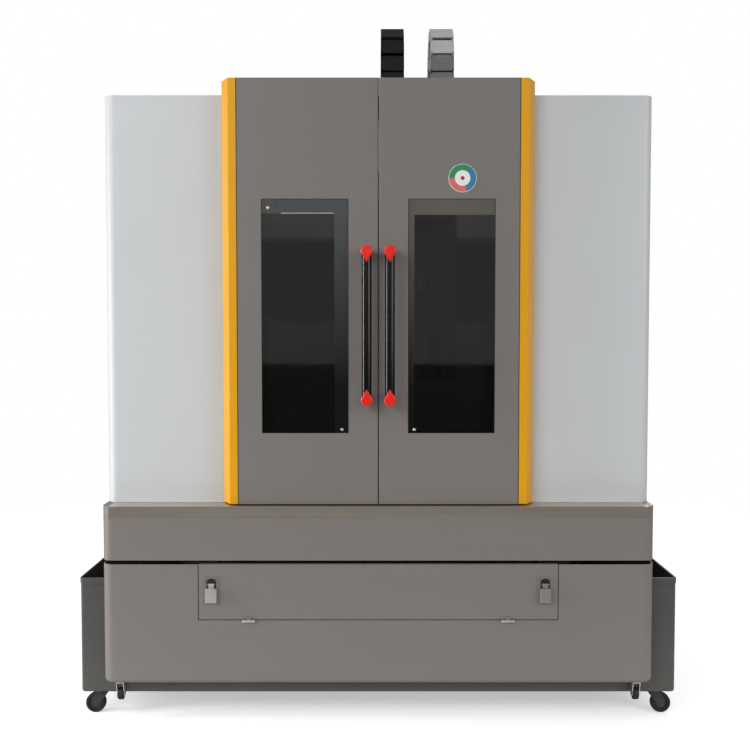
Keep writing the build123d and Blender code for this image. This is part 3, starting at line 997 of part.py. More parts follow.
# Front cover: a pan with round corners on the tank's front wall, notched for the flap, with the fixed hinge knuckles
hinge_y = BASE_FRONT_Y - FLAP_HINGE_R - FLAP_HINGE_OFF
hinge_z = FLAP_BOTTOM_Z - FLAP_HINGE_R
with BuildPart() as front_cover:
    for inset, mode in ((0.0, Mode.ADD), (SHEET, Mode.SUBTRACT)):
        with BuildPart(mode=Mode.PRIVATE) as pan:
            outline = front_corner_tray(COVER_HALF_WIDTH - inset, BASE_FRONT_Y + inset,
                                        TANK_FRONT_Y + (CUT if inset else 0.0), COVER_CORNER_R - inset,
                                        Plane.XY.offset(COVER_BOTTOM_Z + inset))
            extrude(outline, amount=COVER_TOP_Z - COVER_BOTTOM_Z)
            pan_foot = pan.faces().sort_by(Axis.Z)[0].edges()
            fillet(pan_foot.filter_by(lambda edge: edge.center().Y < TANK_FRONT_Y - SHEET), COVER_FOOT_R - inset)
        add(pan.part, mode=mode)
    block((-FLAP_HALF_WIDTH - FLAP_SEAM, FLAP_HALF_WIDTH + FLAP_SEAM), (BASE_FRONT_Y - CUT, BASE_FRONT_Y + SHEET + CUT),
          (FLAP_BOTTOM_Z - FLAP_SEAM, COVER_TOP_Z + CUT), mode=Mode.SUBTRACT)
    for hinge_x in (-FLAP_HINGE_X, FLAP_HINGE_X):
        knuckle = FLAP_HINGE_WIDTH / 3
        for part_x in (hinge_x - FLAP_HINGE_WIDTH / 2, hinge_x + FLAP_HINGE_WIDTH / 2 - knuckle):
            rod(along_x(part_x, hinge_y, hinge_z), FLAP_HINGE_R, knuckle)
            block((part_x, part_x + knuckle), (hinge_y, BASE_FRONT_Y),
                  (hinge_z - FLAP_HINGE_LEAF, hinge_z + FLAP_HINGE_LEAF / 3))
front_cover.part.label = "front_cover"
export_step(front_cover.part, "parts/front_cover.step")

# Flap: a sheet with its top edge folded in and the moving hinge knuckles
with BuildPart() as flap_panel:
    block((-FLAP_HALF_WIDTH, FLAP_HALF_WIDTH), (BASE_FRONT_Y, BASE_FRONT_Y + SHEET), (FLAP_BOTTOM_Z, COVER_TOP_Z))
    for hinge_x in (-FLAP_HINGE_X, FLAP_HINGE_X):
        knuckle = FLAP_HINGE_WIDTH / 3 - 2 * RUN_GAP
        rod(along_x(hinge_x - knuckle / 2, hinge_y, hinge_z), FLAP_HINGE_R, knuckle)
        leaf = (hinge_x - knuckle / 2, hinge_x + knuckle / 2)
        block(leaf, (hinge_y - FLAP_HINGE_LEAF / 2, hinge_y + FLAP_HINGE_LEAF / 2),
              (hinge_z, FLAP_BOTTOM_Z + 2 * FLAP_HINGE_R))
        block(leaf, (hinge_y, BASE_FRONT_Y), (FLAP_BOTTOM_Z + FLAP_HINGE_LEAF, FLAP_BOTTOM_Z + 2 * FLAP_HINGE_R))
    block((-FLAP_HALF_WIDTH, FLAP_HALF_WIDTH), (BASE_FRONT_Y + SHEET, BASE_FRONT_Y + FLAP_RETURN),
          (COVER_TOP_Z - SHEET, COVER_TOP_Z))
flap_panel.part.label = "flap_panel"
export_step(flap_panel.part, "parts/flap_panel.step")

# Latches on the flap: a plate with a recess and two ears for each, and the lever that turns on a cross pin
latch_front_y = BASE_FRONT_Y - LATCH_PLATE
pivot_y = latch_front_y - LATCH_PIVOT_R - RUN_GAP
with BuildPart() as latch_plates:
    for latch_x in (-LATCH_X, LATCH_X):
        block((latch_x - LATCH_PLATE_WIDTH / 2, latch_x + LATCH_PLATE_WIDTH / 2), (latch_front_y, BASE_FRONT_Y),
              (LATCH_PLATE_BOTTOM_Z, LATCH_PLATE_TOP_Z))
        window_z = LATCH_PLATE_TOP_Z - 2 * LATCH_PLATE
        block((latch_x - LATCH_BODY_WIDTH / 2, latch_x + LATCH_BODY_WIDTH / 2),
              (latch_front_y - CUT, latch_front_y + LATCH_RECESS),
              (window_z - LATCH_WINDOW_HEIGHT / 2, window_z), mode=Mode.SUBTRACT)
        for ear in (-1, 1):
            ear_x = latch_x + ear * (LATCH_NECK_WIDTH / 2 + LATCH_PLATE / 2 + RUN_GAP)
            block((ear_x - LATCH_PLATE / 2, ear_x + LATCH_PLATE / 2), (pivot_y - LATCH_PIVOT_R, latch_front_y),
                  (LATCH_PIVOT_Z - LATCH_PIVOT_R, LATCH_PIVOT_Z + LATCH_PIVOT_R))
latch_plates.part.label = "latch_plates"
export_step(latch_plates.part, "parts/latch_plates.step")

for side, sign in SIDES:
    latch_x = sign * LATCH_X
    with BuildPart() as lever:
        rod(along_x(latch_x - LATCH_NECK_WIDTH / 2, pivot_y, LATCH_PIVOT_Z), LATCH_PIVOT_R, LATCH_NECK_WIDTH)
        block((latch_x - LATCH_NECK_WIDTH / 2, latch_x + LATCH_NECK_WIDTH / 2),
              (pivot_y - LATCH_PIVOT_R / 2, pivot_y + LATCH_PIVOT_R / 2), (LATCH_BODY_TOP_Z, LATCH_PIVOT_Z))
        block((latch_x - LATCH_BODY_WIDTH / 2, latch_x + LATCH_BODY_WIDTH / 2),
              (latch_front_y - RUN_GAP - LATCH_BODY_DEPTH, latch_front_y - RUN_GAP),
              (LATCH_BODY_BOTTOM_Z, LATCH_BODY_TOP_Z))
        front_edges = lever.faces().filter_by(Axis.Y).group_by(Axis.Y)[0].edges()
        fillet(front_edges, LATCH_PLATE)
    lever.part.label = f"{side}_latch_lever"
    export_step(lever.part, f"parts/{side}_latch_lever.step")

# Casters of the tank: a swivelling fork with a round head and cheeks, and its wheel with a moulded recess
corner_ys = (("front", TANK_FRONT_Y + CASTER_INSET_Y), ("rear", TANK_BACK_Y - CASTER_INSET_Y))
for end, caster_y in corner_ys:
    for side, sign in SIDES:
        swivel_x = sign * CASTER_X
        wheel_x = swivel_x + sign * CASTER_TRAIL
        cheek_inner = CASTER_WHEEL_WIDTH / 2 + CASTER_CHEEK_GAP
        bridge_z = 2 * CASTER_WHEEL_R + CASTER_CHEEK_GAP
        plate_z = TANK_BOTTOM_Z - RUN_GAP
        fork_back_x = swivel_x - sign * (CASTER_HEAD_R - CASTER_CHEEK)
        with BuildPart() as fork:
            rod(Plane.XY.move(Location((swivel_x, caster_y, bridge_z))), CASTER_HEAD_R, plate_z - bridge_z)
            block((fork_back_x, wheel_x), (caster_y - cheek_inner - CASTER_CHEEK,
                  caster_y + cheek_inner + CASTER_CHEEK), (bridge_z, bridge_z + CASTER_CHEEK))
            for cheek in (-1, 1):
                cheek_plane = along_y(0, caster_y + cheek * (cheek_inner + CASTER_CHEEK / 2), 0)
                with BuildSketch(Plane(origin=cheek_plane.origin, x_dir=(1, 0, 0), z_dir=(0, -1, 0))):
                    with BuildLine():
                        Polyline(
                            (fork_back_x, bridge_z + CASTER_CHEEK),
                            (fork_back_x, bridge_z - CASTER_CHEEK),
                            (wheel_x - sign * 2 * CASTER_AXLE_R, CASTER_WHEEL_R - 2 * CASTER_AXLE_R),
                            (wheel_x + sign * 2 * CASTER_AXLE_R, CASTER_WHEEL_R - 2 * CASTER_AXLE_R),
                            (wheel_x + sign * 2 * CASTER_AXLE_R, CASTER_WHEEL_R + 2 * CASTER_AXLE_R),
                            (wheel_x, bridge_z + CASTER_CHEEK),
                            close=True,
                        )
                    make_face()
                extrude(amount=CASTER_CHEEK / 2, both=True)
            rod(along_y(wheel_x, caster_y - cheek_inner, CASTER_WHEEL_R), CASTER_AXLE_R, 2 * cheek_inner)
        fork.part.label = f"{end}_{side}_caster_fork"
        export_step(fork.part, f"parts/{end}_{side}_caster_fork.step")

        with BuildPart() as wheel:
            rod(along_y(wheel_x, caster_y - CASTER_WHEEL_WIDTH / 2, CASTER_WHEEL_R), CASTER_WHEEL_R,
                CASTER_WHEEL_WIDTH)
            fillet(wheel.edges().filter_by(GeomType.CIRCLE), CASTER_CHEEK)
            for face_y in (caster_y - CASTER_WHEEL_WIDTH / 2, caster_y + CASTER_WHEEL_WIDTH / 2 - CASTER_CHEEK):
                rod(along_y(wheel_x, face_y, CASTER_WHEEL_R), CASTER_WHEEL_R - 3 * CASTER_CHEEK, CASTER_CHEEK,
                    mode=Mode.SUBTRACT)
                rod(along_y(wheel_x, face_y, CASTER_WHEEL_R), 2 * CASTER_AXLE_R, CASTER_CHEEK)
            rod(along_y(wheel_x, caster_y - CASTER_WHEEL_WIDTH, CASTER_WHEEL_R), CASTER_AXLE_R + RUN_GAP,
                2 * CASTER_WHEEL_WIDTH, mode=Mode.SUBTRACT)
        wheel.part.label = f"{end}_{side}_caster_wheel"
        export_step(wheel.part, f"parts/{end}_{side}_caster_wheel.step")

# Small casters under the cover, clear of the floor: both forks in one group, the wheels each by itself
small_y = BASE_FRONT_Y + SMALL_CASTER_BEHIND_FRONT
small_z = SMALL_WHEEL_BOTTOM_Z + SMALL_WHEEL_R
small_cheek_inner = SMALL_WHEEL_WIDTH / 2 + SMALL_CASTER_CHEEK_GAP
with BuildPart() as small_forks:
    for sign in (-1, 1):
        small_x = sign * SMALL_CASTER_X
        fork_half = small_cheek_inner + SMALL_CASTER_CHEEK
        block((small_x - fork_half, small_x + fork_half), (small_y - SMALL_WHEEL_R, small_y + SMALL_WHEEL_R),
              (COVER_BOTTOM_Z - SMALL_CASTER_PLATE, COVER_BOTTOM_Z))
        for cheek in (-1, 1):
            cheek_x = small_x + cheek * (small_cheek_inner + SMALL_CASTER_CHEEK / 2)
            with BuildSketch(along_x(cheek_x, 0, 0)):
                with BuildLine():
                    Polyline(
                        (small_y - SMALL_WHEEL_R, COVER_BOTTOM_Z - SMALL_CASTER_PLATE),
                        (small_y - 2 * SMALL_AXLE_R, small_z - 2 * SMALL_AXLE_R),
                        (small_y + 2 * SMALL_AXLE_R, small_z - 2 * SMALL_AXLE_R),
                        (small_y + SMALL_WHEEL_R, COVER_BOTTOM_Z - SMALL_CASTER_PLATE),
                        close=True,
                    )
                make_face()
            extrude(amount=SMALL_CASTER_CHEEK / 2, both=True)
        rod(along_x(small_x - small_cheek_inner, small_y, small_z), SMALL_AXLE_R, 2 * small_cheek_inner)
small_forks.part.label = "small_caster_forks"
export_step(small_forks.part, "parts/small_caster_forks.step")

for side, sign in SIDES:
    with BuildPart() as small_wheel:
        wheel_start = sign * SMALL_CASTER_X - SMALL_WHEEL_WIDTH / 2
        rod(along_x(wheel_start, small_y, small_z), SMALL_WHEEL_R, SMALL_WHEEL_WIDTH)
        fillet(small_wheel.edges().filter_by(GeomType.CIRCLE), SMALL_CASTER_PLATE)
        rod(along_x(wheel_start, small_y, small_z), SMALL_AXLE_R + RUN_GAP, SMALL_WHEEL_WIDTH, mode=Mode.SUBTRACT)
    small_wheel.part.label = f"{side}_small_wheel"
    export_step(small_wheel.part, f"parts/{side}_small_wheel.step")

# Electrical cabinet on the rear panel, and its door with a swing lock
cabinet_back_y = SHELL_BACK_Y + CABINET_DEPTH
with BuildPart() as cabinet:
    block((-CABINET_HALF_WIDTH, CABINET_HALF_WIDTH), (SHELL_BACK_Y, cabinet_back_y), (CABINET_BOTTOM_Z, CABINET_TOP_Z))
    block((-CABINET_HALF_WIDTH + CABINET_SHEET, CABINET_HALF_WIDTH - CABINET_SHEET),
          (SHELL_BACK_Y + CABINET_SHEET, cabinet_back_y + CUT),
          (CABINET_BOTTOM_Z + CABINET_SHEET, CABINET_TOP_Z - CABINET_SHEET), mode=Mode.SUBTRACT)
cabinet.part.label = "electrical_cabinet"
export_step(cabinet.part, "parts/electrical_cabinet.step")

with BuildPart() as cabinet_door:
    door_start = cabinet_back_y + CABINET_DOOR_GAP
    door_end = cabinet_back_y + CABINET_DOOR_DEPTH - CABINET_LOCK_DEPTH
    block((-CABINET_HALF_WIDTH, CABINET_HALF_WIDTH), (door_start, door_end), (CABINET_BOTTOM_Z, CABINET_TOP_Z))
    fillet(cabinet_door.edges().filter_by(Axis.Y), CABINET_SHEET)
    lock_x = -CABINET_HALF_WIDTH + 2 * CABINET_LOCK_WIDTH
    lock_z = (CABINET_BOTTOM_Z + CABINET_TOP_Z) / 2
    block((lock_x - CABINET_LOCK_WIDTH / 2, lock_x + CABINET_LOCK_WIDTH / 2), (door_end, door_end + CABINET_LOCK_DEPTH),
          (lock_z - CABINET_LOCK_HEIGHT / 2, lock_z + CABINET_LOCK_HEIGHT / 2))
cabinet_door.part.label = "cabinet_door"
export_step(cabinet_door.part, "parts/cabinet_door.step")
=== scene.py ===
"""Dresses an enclosed gantry milling machine: its finishes, edges and small parts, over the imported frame."""

import json
import logging
import math
from collections.abc import Sequence
from dataclasses import dataclass
from enum import Enum

import bmesh
import bpy
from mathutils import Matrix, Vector


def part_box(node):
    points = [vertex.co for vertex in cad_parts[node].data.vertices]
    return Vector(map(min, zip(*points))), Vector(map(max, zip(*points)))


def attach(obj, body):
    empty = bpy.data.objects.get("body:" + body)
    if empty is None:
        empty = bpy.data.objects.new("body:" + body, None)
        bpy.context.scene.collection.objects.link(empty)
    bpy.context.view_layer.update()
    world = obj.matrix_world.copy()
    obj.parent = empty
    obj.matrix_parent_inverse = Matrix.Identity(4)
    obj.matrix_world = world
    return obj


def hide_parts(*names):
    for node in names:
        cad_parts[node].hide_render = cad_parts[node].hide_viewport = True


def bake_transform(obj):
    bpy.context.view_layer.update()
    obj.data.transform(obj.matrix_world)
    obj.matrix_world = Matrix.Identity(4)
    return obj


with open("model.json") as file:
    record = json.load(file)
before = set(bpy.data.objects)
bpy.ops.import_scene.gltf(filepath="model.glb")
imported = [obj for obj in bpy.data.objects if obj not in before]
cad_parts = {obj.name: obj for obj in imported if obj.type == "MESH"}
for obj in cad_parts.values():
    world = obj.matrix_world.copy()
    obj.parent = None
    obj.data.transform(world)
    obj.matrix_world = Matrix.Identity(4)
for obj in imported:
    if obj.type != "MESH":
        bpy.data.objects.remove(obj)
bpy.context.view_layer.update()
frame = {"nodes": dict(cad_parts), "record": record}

LOG = logging.getLogger("milling_machine")
Point = Sequence[float]
FLOOR_DUST = "#8E8A83"
# Length in metres of one band of a wave texture whose scale is one
WAVE_BAND = math.pi / 10
# How far a window's glass reaches past its opening, and where the knuckles of the flap's hinges turn (y and z)
GLASS_LAP = 0.018
HINGE_AXIS = (-1.082, 0.385)


def linear(colour: str, lift: float = 1.0) -> tuple[float, float, float, float]:
    """Turns an sRGB hex value into a linear colour.

    Args:
        colour: The colour as "#RRGGBB".
        lift: Factor on the linear value, to make it lighter or darker.

    Returns:
        Red, green, blue and an alpha of one.
    """
    shares = [int(colour[at : at + 2], 16) / 255 for at in (1, 3, 5)]
    bare = [share / 12.92 if share <= 0.04045 else ((share + 0.055) / 1.055) ** 2.4 for share in shares]
    return (*[min(1.0, value * lift) for value in bare], 1.0)


def add_node(
    tree: bpy.types.NodeTree, kind: str, inputs: dict[str | int, object] | None = None, **settings: object
) -> bpy.types.Node:
    """Adds one node to a tree, with its settings, values and links.

    Args:
        tree: The shader or geometry tree.
        kind: The node's type name.
        inputs: Input name or number, and either a value or the socket that feeds it.
        **settings: The node's own properties.

    Returns:
        The new node.
    """
    node = tree.nodes.new(kind)
    for name, value in settings.items():
        setattr(node, name, value)
    for key, value in (inputs or {}).items():
        if isinstance(value, bpy.types.NodeSocket):
            tree.links.new(value, node.inputs[key])
        else:
            node.inputs[key].default_value = value
    return node


def noise(
    tree: bpy.types.NodeTree, place: bpy.types.NodeSocket, scale: float, detail: float, distortion: float = 0.0
) -> bpy.types.NodeSocket:
    """Adds a noise pattern.

    Args:
        tree: The shader tree.
        place: Where the surface is.
        scale: Features in a metre.
        detail: Layers of finer noise.
        distortion: How far the pattern is bent.

    Returns:
        The pattern, from zero to one.
    """
    values = {"Vector": place, "Scale": scale, "Detail": detail, "Distortion": distortion}
    return add_node(tree, "ShaderNodeTexNoise", values).outputs[0]


def maths(
    tree: bpy.types.NodeTree, operation: str, first: bpy.types.NodeSocket | float, second: bpy.types.NodeSocket | float
) -> bpy.types.NodeSocket:
    """Adds a sum on one or two numbers.

    Args:
        tree: The shader or geometry tree.
        operation: What is done with them.
        first: The first number.
        second: The second number.

    Returns:
        The result.
    """
    return add_node(tree, "ShaderNodeMath", {0: first, 1: second}, operation=operation).outputs[0]


def mixed_colour(
    tree: bpy.types.NodeTree, share: bpy.types.NodeSocket, first: object, second: object
) -> bpy.types.NodeSocket:
    """Adds a mix of two colours.

    Args:
        tree: The shader tree.
        share: Zero for the first colour and one for the second.
        first: The first colour.
        second: The second colour.

    Returns:
        The mixed colour.
    """
    return add_node(tree, "ShaderNodeMix", {0: share, 6: first, 7: second}, data_type="RGBA").outputs[2]


class Side(Enum):
    """A side of the machine, as one faces its doors."""

    LEFT = -1
    RIGHT = 1

    @property
    def word(self) -> str:
        """The side's word in the names of the frame's nodes."""
        return self.name.lower()


class Axis(Enum):
    """An axis of the frame."""

    X = (1.0, 0.0, 0.0)
    Y = (0.0, 1.0, 0.0)
    Z = (0.0, 0.0, 1.0)

    @property
    def vector(self) -> Vector:
        """The axis as a unit vector."""
        return Vector(self.value)

    @property
    def across(self) -> tuple[Vector, Vector]:
        """The two other axes, in right-handed order."""
        order = [Vector(axis.value) for axis in Axis]
        at = [axis.name for axis in Axis].index(self.name)
        return order[(at + 1) % 3], order[(at + 2) % 3]


@dataclass(frozen=True)
class Finish:
    """What a surface is made of and how it was made.

    Attributes:
        title: The material's name.
        slot: The record's material slot; not used.
        colour: Its colour as sRGB hex.
        roughness: Middle of its roughness.
        metallic: One on bare metal.
        mirror: Specular level, lower under a dull or anti-glare film.
    """

    title: str
    slot: str
    colour: str
    roughness: float
    metallic: float = 0.0
    mirror: float = 0.5

    def material(self) -> bpy.types.Material:
        """Builds the material the first time, and gives the same one later."""
        found = MATERIALS.get(self.title)
        if found is None:
            found = bpy.data.materials.new(self.title)
            found.use_nodes = True
            found.diffuse_color = linear(self.colour)
            tree = found.node_tree
            tree.nodes.clear()
            values = {
                "Base Color": linear(self.colour),
                "Roughness": self.roughness,
                "Metallic": self.metallic,
                "Specular IOR Level": self.mirror,
            }
            shader = add_node(tree, "ShaderNodeBsdfPrincipled", values)
            add_node(tree, "ShaderNodeOutputMaterial", {"Surface": shader.outputs[0]})
            self.paint(tree, shader, add_node(tree, "ShaderNodeTexCoord").outputs["Object"])
            MATERIALS[self.title] = found
        return found

    def paint(self, tree: bpy.types.NodeTree, shader: bpy.types.Node, place: bpy.types.NodeSocket) -> None:
        """Adds the nodes that make the finish more than one colour."""

    def tone(self, tree: bpy.types.NodeTree, factor: bpy.types.NodeSocket, spread: float) -> bpy.types.NodeSocket:
        """Mixes a darker and a lighter tone of the colour.

        Args:
            tree: The material's tree.
            factor: The pattern that chooses between them.
            spread: How far each lies from the colour.

        Returns:
            The mixed colour.
        """
        return mixed_colour(tree, factor, linear(self.colour, 1 - spread), linear(self.colour, 1 + spread))

    def uneven_gloss(
        self, tree: bpy.types.NodeTree, shader: bpy.types.Node, factor: bpy.types.NodeSocket, spread: float
    ) -> None:
        """Lets the roughness follow a pattern by a spread on either side of its middle."""
        gloss = add_node(
            tree,
            "ShaderNodeMapRange",
            {"Value": factor, "To Min": max(0.0, self.roughness - spread), "To Max": self.roughness + spread},
        )
        tree.links.new(gloss.outputs[0], shader.inputs["Roughness"])


MATERIALS: dict[str, bpy.types.Material] = {}


def relief(
    tree: bpy.types.NodeTree, shader: bpy.types.Node, height: bpy.types.NodeSocket, depth_mm: float, strength: float
) -> None:
    """Raises a pattern from the surface.

    Args:
        tree: The material's tree.
        shader: Its principled shader.
        height: The pattern.
        depth_mm: How deep it is, in millimetres.
        strength: How much of it the light shows.
    """
    bump = add_node(
        tree, "ShaderNodeBump", {"Height": height, "Distance": depth_mm / 1000, "Strength": strength}
    )
    tree.links.new(bump.outputs[0], shader.inputs["Normal"])


@dataclass(frozen=True)
class PowderCoat(Finish):
    """Polyester powder baked on sheet steel: an even, slightly pebbled film with soft gloss.

    Attributes:
        grain_mm: Size of the pebbles, drawn coarser than the real 1 mm so that they show.
        relief_mm: Their height.
        cloud_mm: Size of the faint clouds in its tone.
        cloud: How far the clouds lie from the colour.
        dust: How much floor dust shows at its foot.
        dust_top_m: Height at which the dust ends.
    """

    grain_mm: float = 3.5
    relief_mm: float = 0.05
    cloud_mm: float = 420.0
    cloud: float = 0.035
    dust: float = 0.0
    dust_top_m: float = 0.35

    def paint(self, tree: bpy.types.NodeTree, shader: bpy.types.Node, place: bpy.types.NodeSocket) -> None:
        """Adds the clouds, the pebbles and the dust."""
        colour = self.tone(tree, noise(tree, place, 1000 / self.cloud_mm, 3.0), self.cloud)
        if self.dust:
            height = add_node(tree, "ShaderNodeSeparateXYZ", {0: place}).outputs["Z"]
            low = add_node(
                tree,
                "ShaderNodeMapRange",
                {"Value": height, "From Max": self.dust_top_m, "To Min": self.dust, "To Max": 0.0},
            )
            share = maths(tree, "MULTIPLY", low.outputs[0], noise(tree, place, 9.0, 5.0))
            colour = mixed_colour(tree, share, colour, linear(FLOOR_DUST))
        tree.links.new(colour, shader.inputs["Base Color"])
        pebbles = noise(tree, place, 1000 / self.grain_mm, 2.0)
        self.uneven_gloss(tree, shader, pebbles, 0.05)
        relief(tree, shader, pebbles, self.relief_mm, 0.35)


@dataclass(frozen=True)
class BrushedMetal(Finish):
    """Bare metal with the fine lines of brushing, grinding or turning along one axis.

    Attributes:
        grain: The axis that the lines follow.
        line_mm: Width of a line, drawn coarser than the real 0.2 mm so that it shows.
        stroke_mm: Length of a line.
        depth_mm: Depth of a line.
        spread: How far the lines lie from the colour.
    """

    grain: Axis = Axis.X
    line_mm: float = 1.5
    stroke_mm: float = 140.0
    depth_mm: float = 0.02
    spread: float = 0.10

    def paint(self, tree: bpy.types.NodeTree, shader: bpy.types.Node, place: bpy.types.NodeSocket) -> None:
        """Adds the lines to the tone, the gloss and the relief."""
        scales = [1000 / (self.stroke_mm if axis is self.grain else self.line_mm) for axis in Axis]
        along = add_node(tree, "ShaderNodeMapping", {"Vector": place, "Scale": scales})
        lines = noise(tree, along.outputs[0], 1.0, 2.0)
        tree.links.new(self.tone(tree, lines, self.spread), shader.inputs["Base Color"])
        self.uneven_gloss(tree, shader, lines, 0.08)
        relief(tree, shader, lines, self.depth_mm, 0.3)


@dataclass(frozen=True)
class ThreadedSteel(Finish):
    """Rolled thread of a ball screw: round grooves, one each pitch, oiled.

    Attributes:
        axis: The screw's axis.
        pitch_mm: Distance between grooves.
    """

    axis: Axis = Axis.X
    pitch_mm: float = 20.0

    def paint(self, tree: bpy.types.NodeTree, shader: bpy.types.Node, place: bpy.types.NodeSocket) -> None:
        """Adds the grooves."""
        grooves = add_node(
            tree,
            "ShaderNodeTexWave",
            {"Vector": place, "Scale": WAVE_BAND * 1000 / self.pitch_mm},
            bands_direction=self.axis.name,
        )
        tree.links.new(self.tone(tree, grooves.outputs[1], 0.3), shader.inputs["Base Color"])
        relief(tree, shader, grooves.outputs[1], 1.5, 0.8)


@dataclass(frozen=True)
class MouldedPlastic(Finish):
    """Injection-moulded nylon, ABS or rubber: an even colour with the mould's fine grain and rubbed spots.

    Attributes:
        grain_mm: Size of the grain.
        relief_mm: Its height.
    """

    grain_mm: float = 1.5
    relief_mm: float = 0.03

    def paint(self, tree: bpy.types.NodeTree, shader: bpy.types.Node, place: bpy.types.NodeSocket) -> None:
        """Adds the grain and the rubbed spots."""
        rubbed = noise(tree, place, 28.0, 4.0)
        tree.links.new(self.tone(tree, rubbed, 0.12), shader.inputs["Base Color"])
        self.uneven_gloss(tree, shader, rubbed, 0.06)
        relief(tree, shader, noise(tree, place, 1000 / self.grain_mm, 1.0), self.relief_mm, 0.3)


@dataclass(frozen=True)
class CoatedCloth(Finish):
    """Polyester cloth with a polyurethane film, as bellows are folded from: dull, with a plain weave under it.

    Attributes:
        thread_mm: Distance between threads, drawn coarser than the real 0.5 mm so that it shows.
    """

    thread_mm: float = 2.0

    def paint(self, tree: bpy.types.NodeTree, shader: bpy.types.Node, place: bpy.types.NodeSocket) -> None:
        """Adds the weave and the worn tone of the folds."""
        shader.inputs["Sheen Weight"].default_value = 0.2
        threads = [
            add_node(
                tree,
                "ShaderNodeTexWave",
                {"Vector": place, "Scale": WAVE_BAND * 1000 / self.thread_mm},
                bands_direction=direction,
            ).outputs[1]
            for direction in ("X", "DIAGONAL")
        ]
        worn = noise(tree, place, 16.0, 4.0)
        tree.links.new(self.tone(tree, worn, 0.25), shader.inputs["Base Color"])
        relief(tree, shader, maths(tree, "ADD", *threads), 0.12, 0.4)


@dataclass(frozen=True)
class TintedGlass(Finish):
    """Laminated safety glass with a dark film: black to look at, with a faint image of the room in its gloss."""

    def paint(self, tree: bpy.types.NodeTree, shader: bpy.types.Node, place: bpy.types.NodeSocket) -> None:
        """Lets light through and wipes faint smears over the gloss."""
        shader.inputs["Transmission Weight"].default_value = 1.0
        shader.inputs["IOR"].default_value = 1.5
        self.uneven_gloss(tree, shader, noise(tree, place, 7.0, 4.0, 1.2), 0.015)


@dataclass(frozen=True)
class FadedBorder(Finish):
    """Grey band on the front of the glass that stands for the inner door frame behind it: painted light, grey at the
    top and fading downwards as painted shade to as black as the glass.

    Attributes:
        foot: Colour where the painted light has faded out, as sRGB hex.
        fade_m: Heights at which the painted light has faded out and at which it begins to fade.
    """

    foot: str = "#141415"
    fade_m: tuple[float, float] = (1.25, 1.90)

    def paint(self, tree: bpy.types.NodeTree, shader: bpy.types.Node, place: bpy.types.NodeSocket) -> None:
        """Adds the painted fading of the light and a faint uneven tone."""
        height = add_node(tree, "ShaderNodeSeparateXYZ", {0: place}).outputs["Z"]
        low, high = self.fade_m
        share = add_node(tree, "ShaderNodeMapRange", {"Value": height, "From Min": low, "From Max": high})
        uneven = noise(tree, place, 12.0, 3.0)
        faded = mixed_colour(tree, share.outputs[0], linear(self.foot), self.tone(tree, uneven, 0.12))
        tree.links.new(faded, shader.inputs["Base Color"])
        self.uneven_gloss(tree, shader, uneven, 0.03)


@dataclass(frozen=True)
class RingedVinyl(Finish):
    """Printed vinyl sticker: a ring of coloured segments round a plain middle, under a gloss film.

    Attributes:
        middle: Its middle in the frame, in metres.
        radius: Its radius, in metres.
        ring: Share of the radius at which the ring begins and ends.
        dot: Share of the radius of the dot in the middle, and its colour.
        segments: Share of the turn at which each segment begins, and its colour.
    """

    middle: tuple[float, float, float] = (0.0, 0.0, 0.0)
    radius: float = 0.05
    ring: tuple[float, float] = (0.55, 0.97)
    dot: tuple[float, str] = (0.14, "#B3262B")
    segments: tuple[tuple[float, str], ...] = ((0.0, "#D9706A"), (0.30, "#2A7FA6"), (0.66, "#1F8F55"))

    def paint(self, tree: bpy.types.NodeTree, shader: bpy.types.Node, place: bpy.types.NodeSocket) -> None:
        """Adds the dot, the plain middle and the segments."""
        shift = [-part / self.radius for part in self.middle]
        centred = add_node(
            tree, "ShaderNodeMapping", {"Vector": place, "Location": shift, "Scale": [1 / self.radius] * 3}
        )
        away = add_node(tree, "ShaderNodeVectorMath", {0: centred.outputs[0]}, operation="LENGTH").outputs["Value"]
        parts = add_node(tree, "ShaderNodeSeparateXYZ", {0: centred.outputs[0]})
        turn = maths(tree, "ARCTAN2", parts.outputs["Z"], parts.outputs["X"])
        share = add_node(tree, "ShaderNodeMapRange", {"Value": turn, "From Min": -math.pi, "From Max": math.pi})
        wheel = self.stops(tree, share.outputs[0], self.segments)
        plain = self.stops(tree, away, ((0.0, self.dot[1]), (self.dot[0], self.colour)))
        begun = maths(tree, "GREATER_THAN", away, self.ring[0])
        on_ring = maths(tree, "MULTIPLY", begun, maths(tree, "LESS_THAN", away, self.ring[1]))
        tree.links.new(mixed_colour(tree, on_ring, plain, wheel), shader.inputs["Base Color"])
        shader.inputs["Coat Weight"].default_value = 0.5

    @staticmethod
    def stops(
        tree: bpy.types.NodeTree, factor: bpy.types.NodeSocket, colours: Sequence[tuple[float, str]]
    ) -> bpy.types.NodeSocket:
        """Steps through colours.

        Args:
            tree: The material's tree.
            factor: What chooses the colour.
            colours: Where each colour begins, and the colour as sRGB hex.

        Returns:
            The chosen colour.
        """
        bands = add_node(tree, "ShaderNodeValToRGB", {"Fac": factor})
        bands.color_ramp.interpolation = "CONSTANT"
        for at, (start, colour) in enumerate(colours):
            stop = bands.color_ramp.elements[at] if at < 2 else bands.color_ramp.elements.new(start)
            stop.position = start
            stop.color = linear(colour)
        return bands.outputs[0]


# Textured polyester powder coat in taupe grey: soft gloss that spreads the light evenly over the big doors
TAUPE_COAT = PowderCoat("taupe_powder_coat", "taupe_paint", "#7C7773", 0.50, dust=0.15)
# Smooth polyester powder coat in cool white: a broad sheen that shows the folded corners
WHITE_COAT = PowderCoat("white_powder_coat", "white_paint", "#CFD2D4", 0.42, grain_mm=5.0, relief_mm=0.03)
# Traffic-yellow powder coat: saturated, a little glossier than the doors
YELLOW_COAT = PowderCoat("yellow_powder_coat", "yellow_paint", "#E8A500", 0.40, grain_mm=5.0, cloud=0.02)
